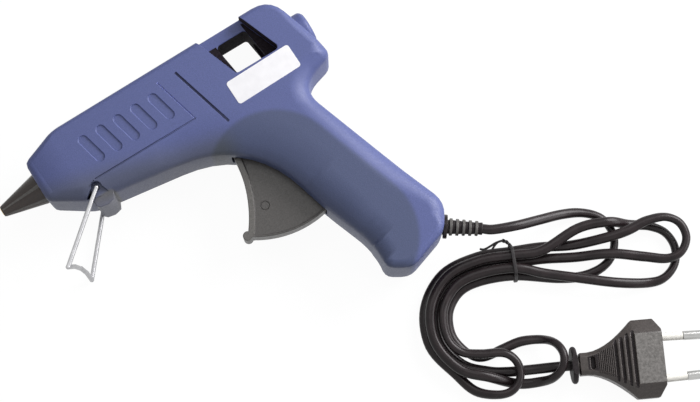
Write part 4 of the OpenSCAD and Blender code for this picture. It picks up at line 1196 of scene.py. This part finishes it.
studio = {
    "floorSize": 6,
    "floorPlace": -0.0002,
    "floorGlow": 0.82,
    "floorLight": 1.16,
    "floorShade": 0.4,
    "worldStrength": 0.25,
    "worldSeen": 1,
    "key": {"place": (0.62, 0.0, 0.37), "size": 0.5, "power": 6.5, "color": (1, 0.985, 1)},
    "fill": {"place": (-0.45, -0.75, 0.8), "size": 0.9, "power": 0.7, "color": (1, 1, 1)},
    "side": {"place": (0.5, -0.42, 0.26), "size": 0.4, "power": 1.3, "color": (1, 0.985, 1)},
    "top": {"place": (0.1, 0.35, 1.0), "size": 0.8, "power": 1.95, "color": (1, 1, 1)},
}


def addLamp(name, setup, target):
    deselectAll()
    bpy.ops.object.light_add(type="AREA", location=setup["place"])
    lamp = bpy.context.object
    lamp.name = name
    lamp.data.shape = "DISK"
    lamp.data.size = setup["size"]
    lamp.data.energy = setup["power"]
    lamp.data.color = setup["color"]
    lamp.rotation_euler = (target - Vector(setup["place"])).to_track_quat("-Z", "Y").to_euler()


def seenDirectly(tree):
    path = tree.nodes.new("ShaderNodeLightPath")
    glossy = tree.nodes.new("ShaderNodeMath")
    glossy.operation = "MAXIMUM"
    clear = tree.nodes.new("ShaderNodeMath")
    clear.operation = "MAXIMUM"
    tree.links.new(path.outputs["Is Camera Ray"], glossy.inputs[0])
    tree.links.new(path.outputs["Is Glossy Ray"], glossy.inputs[1])
    tree.links.new(glossy.outputs[0], clear.inputs[0])
    tree.links.new(path.outputs["Is Transmission Ray"], clear.inputs[1])
    return clear.outputs[0]


def makeFloor():
    deselectAll()
    bpy.ops.mesh.primitive_plane_add(size=studio["floorSize"], location=(0, 0, studio["floorPlace"]))
    floor = bpy.context.object
    floor.name = "studioFloor"
    material = bpy.data.materials.new("whiteFloor")
    material.use_nodes = True
    tree = material.node_tree
    tree.nodes.remove(tree.nodes["Principled BSDF"])
    paper = tree.nodes.new("ShaderNodeBsdfDiffuse")
    paper.inputs["Color"].default_value = (*[studio["floorShade"]] * 3, 1)
    glow = tree.nodes.new("ShaderNodeEmission")
    glow.inputs["Color"].default_value = (1, 1, 1, 1)
    glow.inputs["Strength"].default_value = studio["floorLight"]
    share = tree.nodes.new("ShaderNodeMath")
    share.operation = "MULTIPLY"
    share.inputs[1].default_value = studio["floorGlow"]
    blend = tree.nodes.new("ShaderNodeMixShader")
    tree.links.new(seenDirectly(tree), share.inputs[0])
    tree.links.new(share.outputs[0], blend.inputs[0])
    tree.links.new(paper.outputs[0], blend.inputs[1])
    tree.links.new(glow.outputs[0], blend.inputs[2])
    tree.links.new(blend.outputs[0], tree.nodes["Material Output"].inputs["Surface"])
    floor.data.materials.append(material)


def makeWorld():
    world = scene.world or bpy.data.worlds.new("studioWorld")
    scene.world = world
    world.use_nodes = True
    tree = world.node_tree
    background = tree.nodes["Background"]
    background.inputs["Color"].default_value = (1, 1, 1, 1)
    strength = tree.nodes.new("ShaderNodeMapRange")
    strength.inputs["To Min"].default_value = studio["worldStrength"]
    strength.inputs["To Max"].default_value = studio["worldSeen"]
    tree.links.new(seenDirectly(tree), strength.inputs["Value"])
    tree.links.new(strength.outputs["Result"], background.inputs["Strength"])


makeFloor()
makeWorld()
for lampName in ("key", "fill", "side", "top"):
    addLamp(lampName + "Lamp", studio[lampName], cameraSetup["target"])
print("studio lit")

print("cad box:", [round(v, 4) for v in (*cadLow, *cadHigh)])
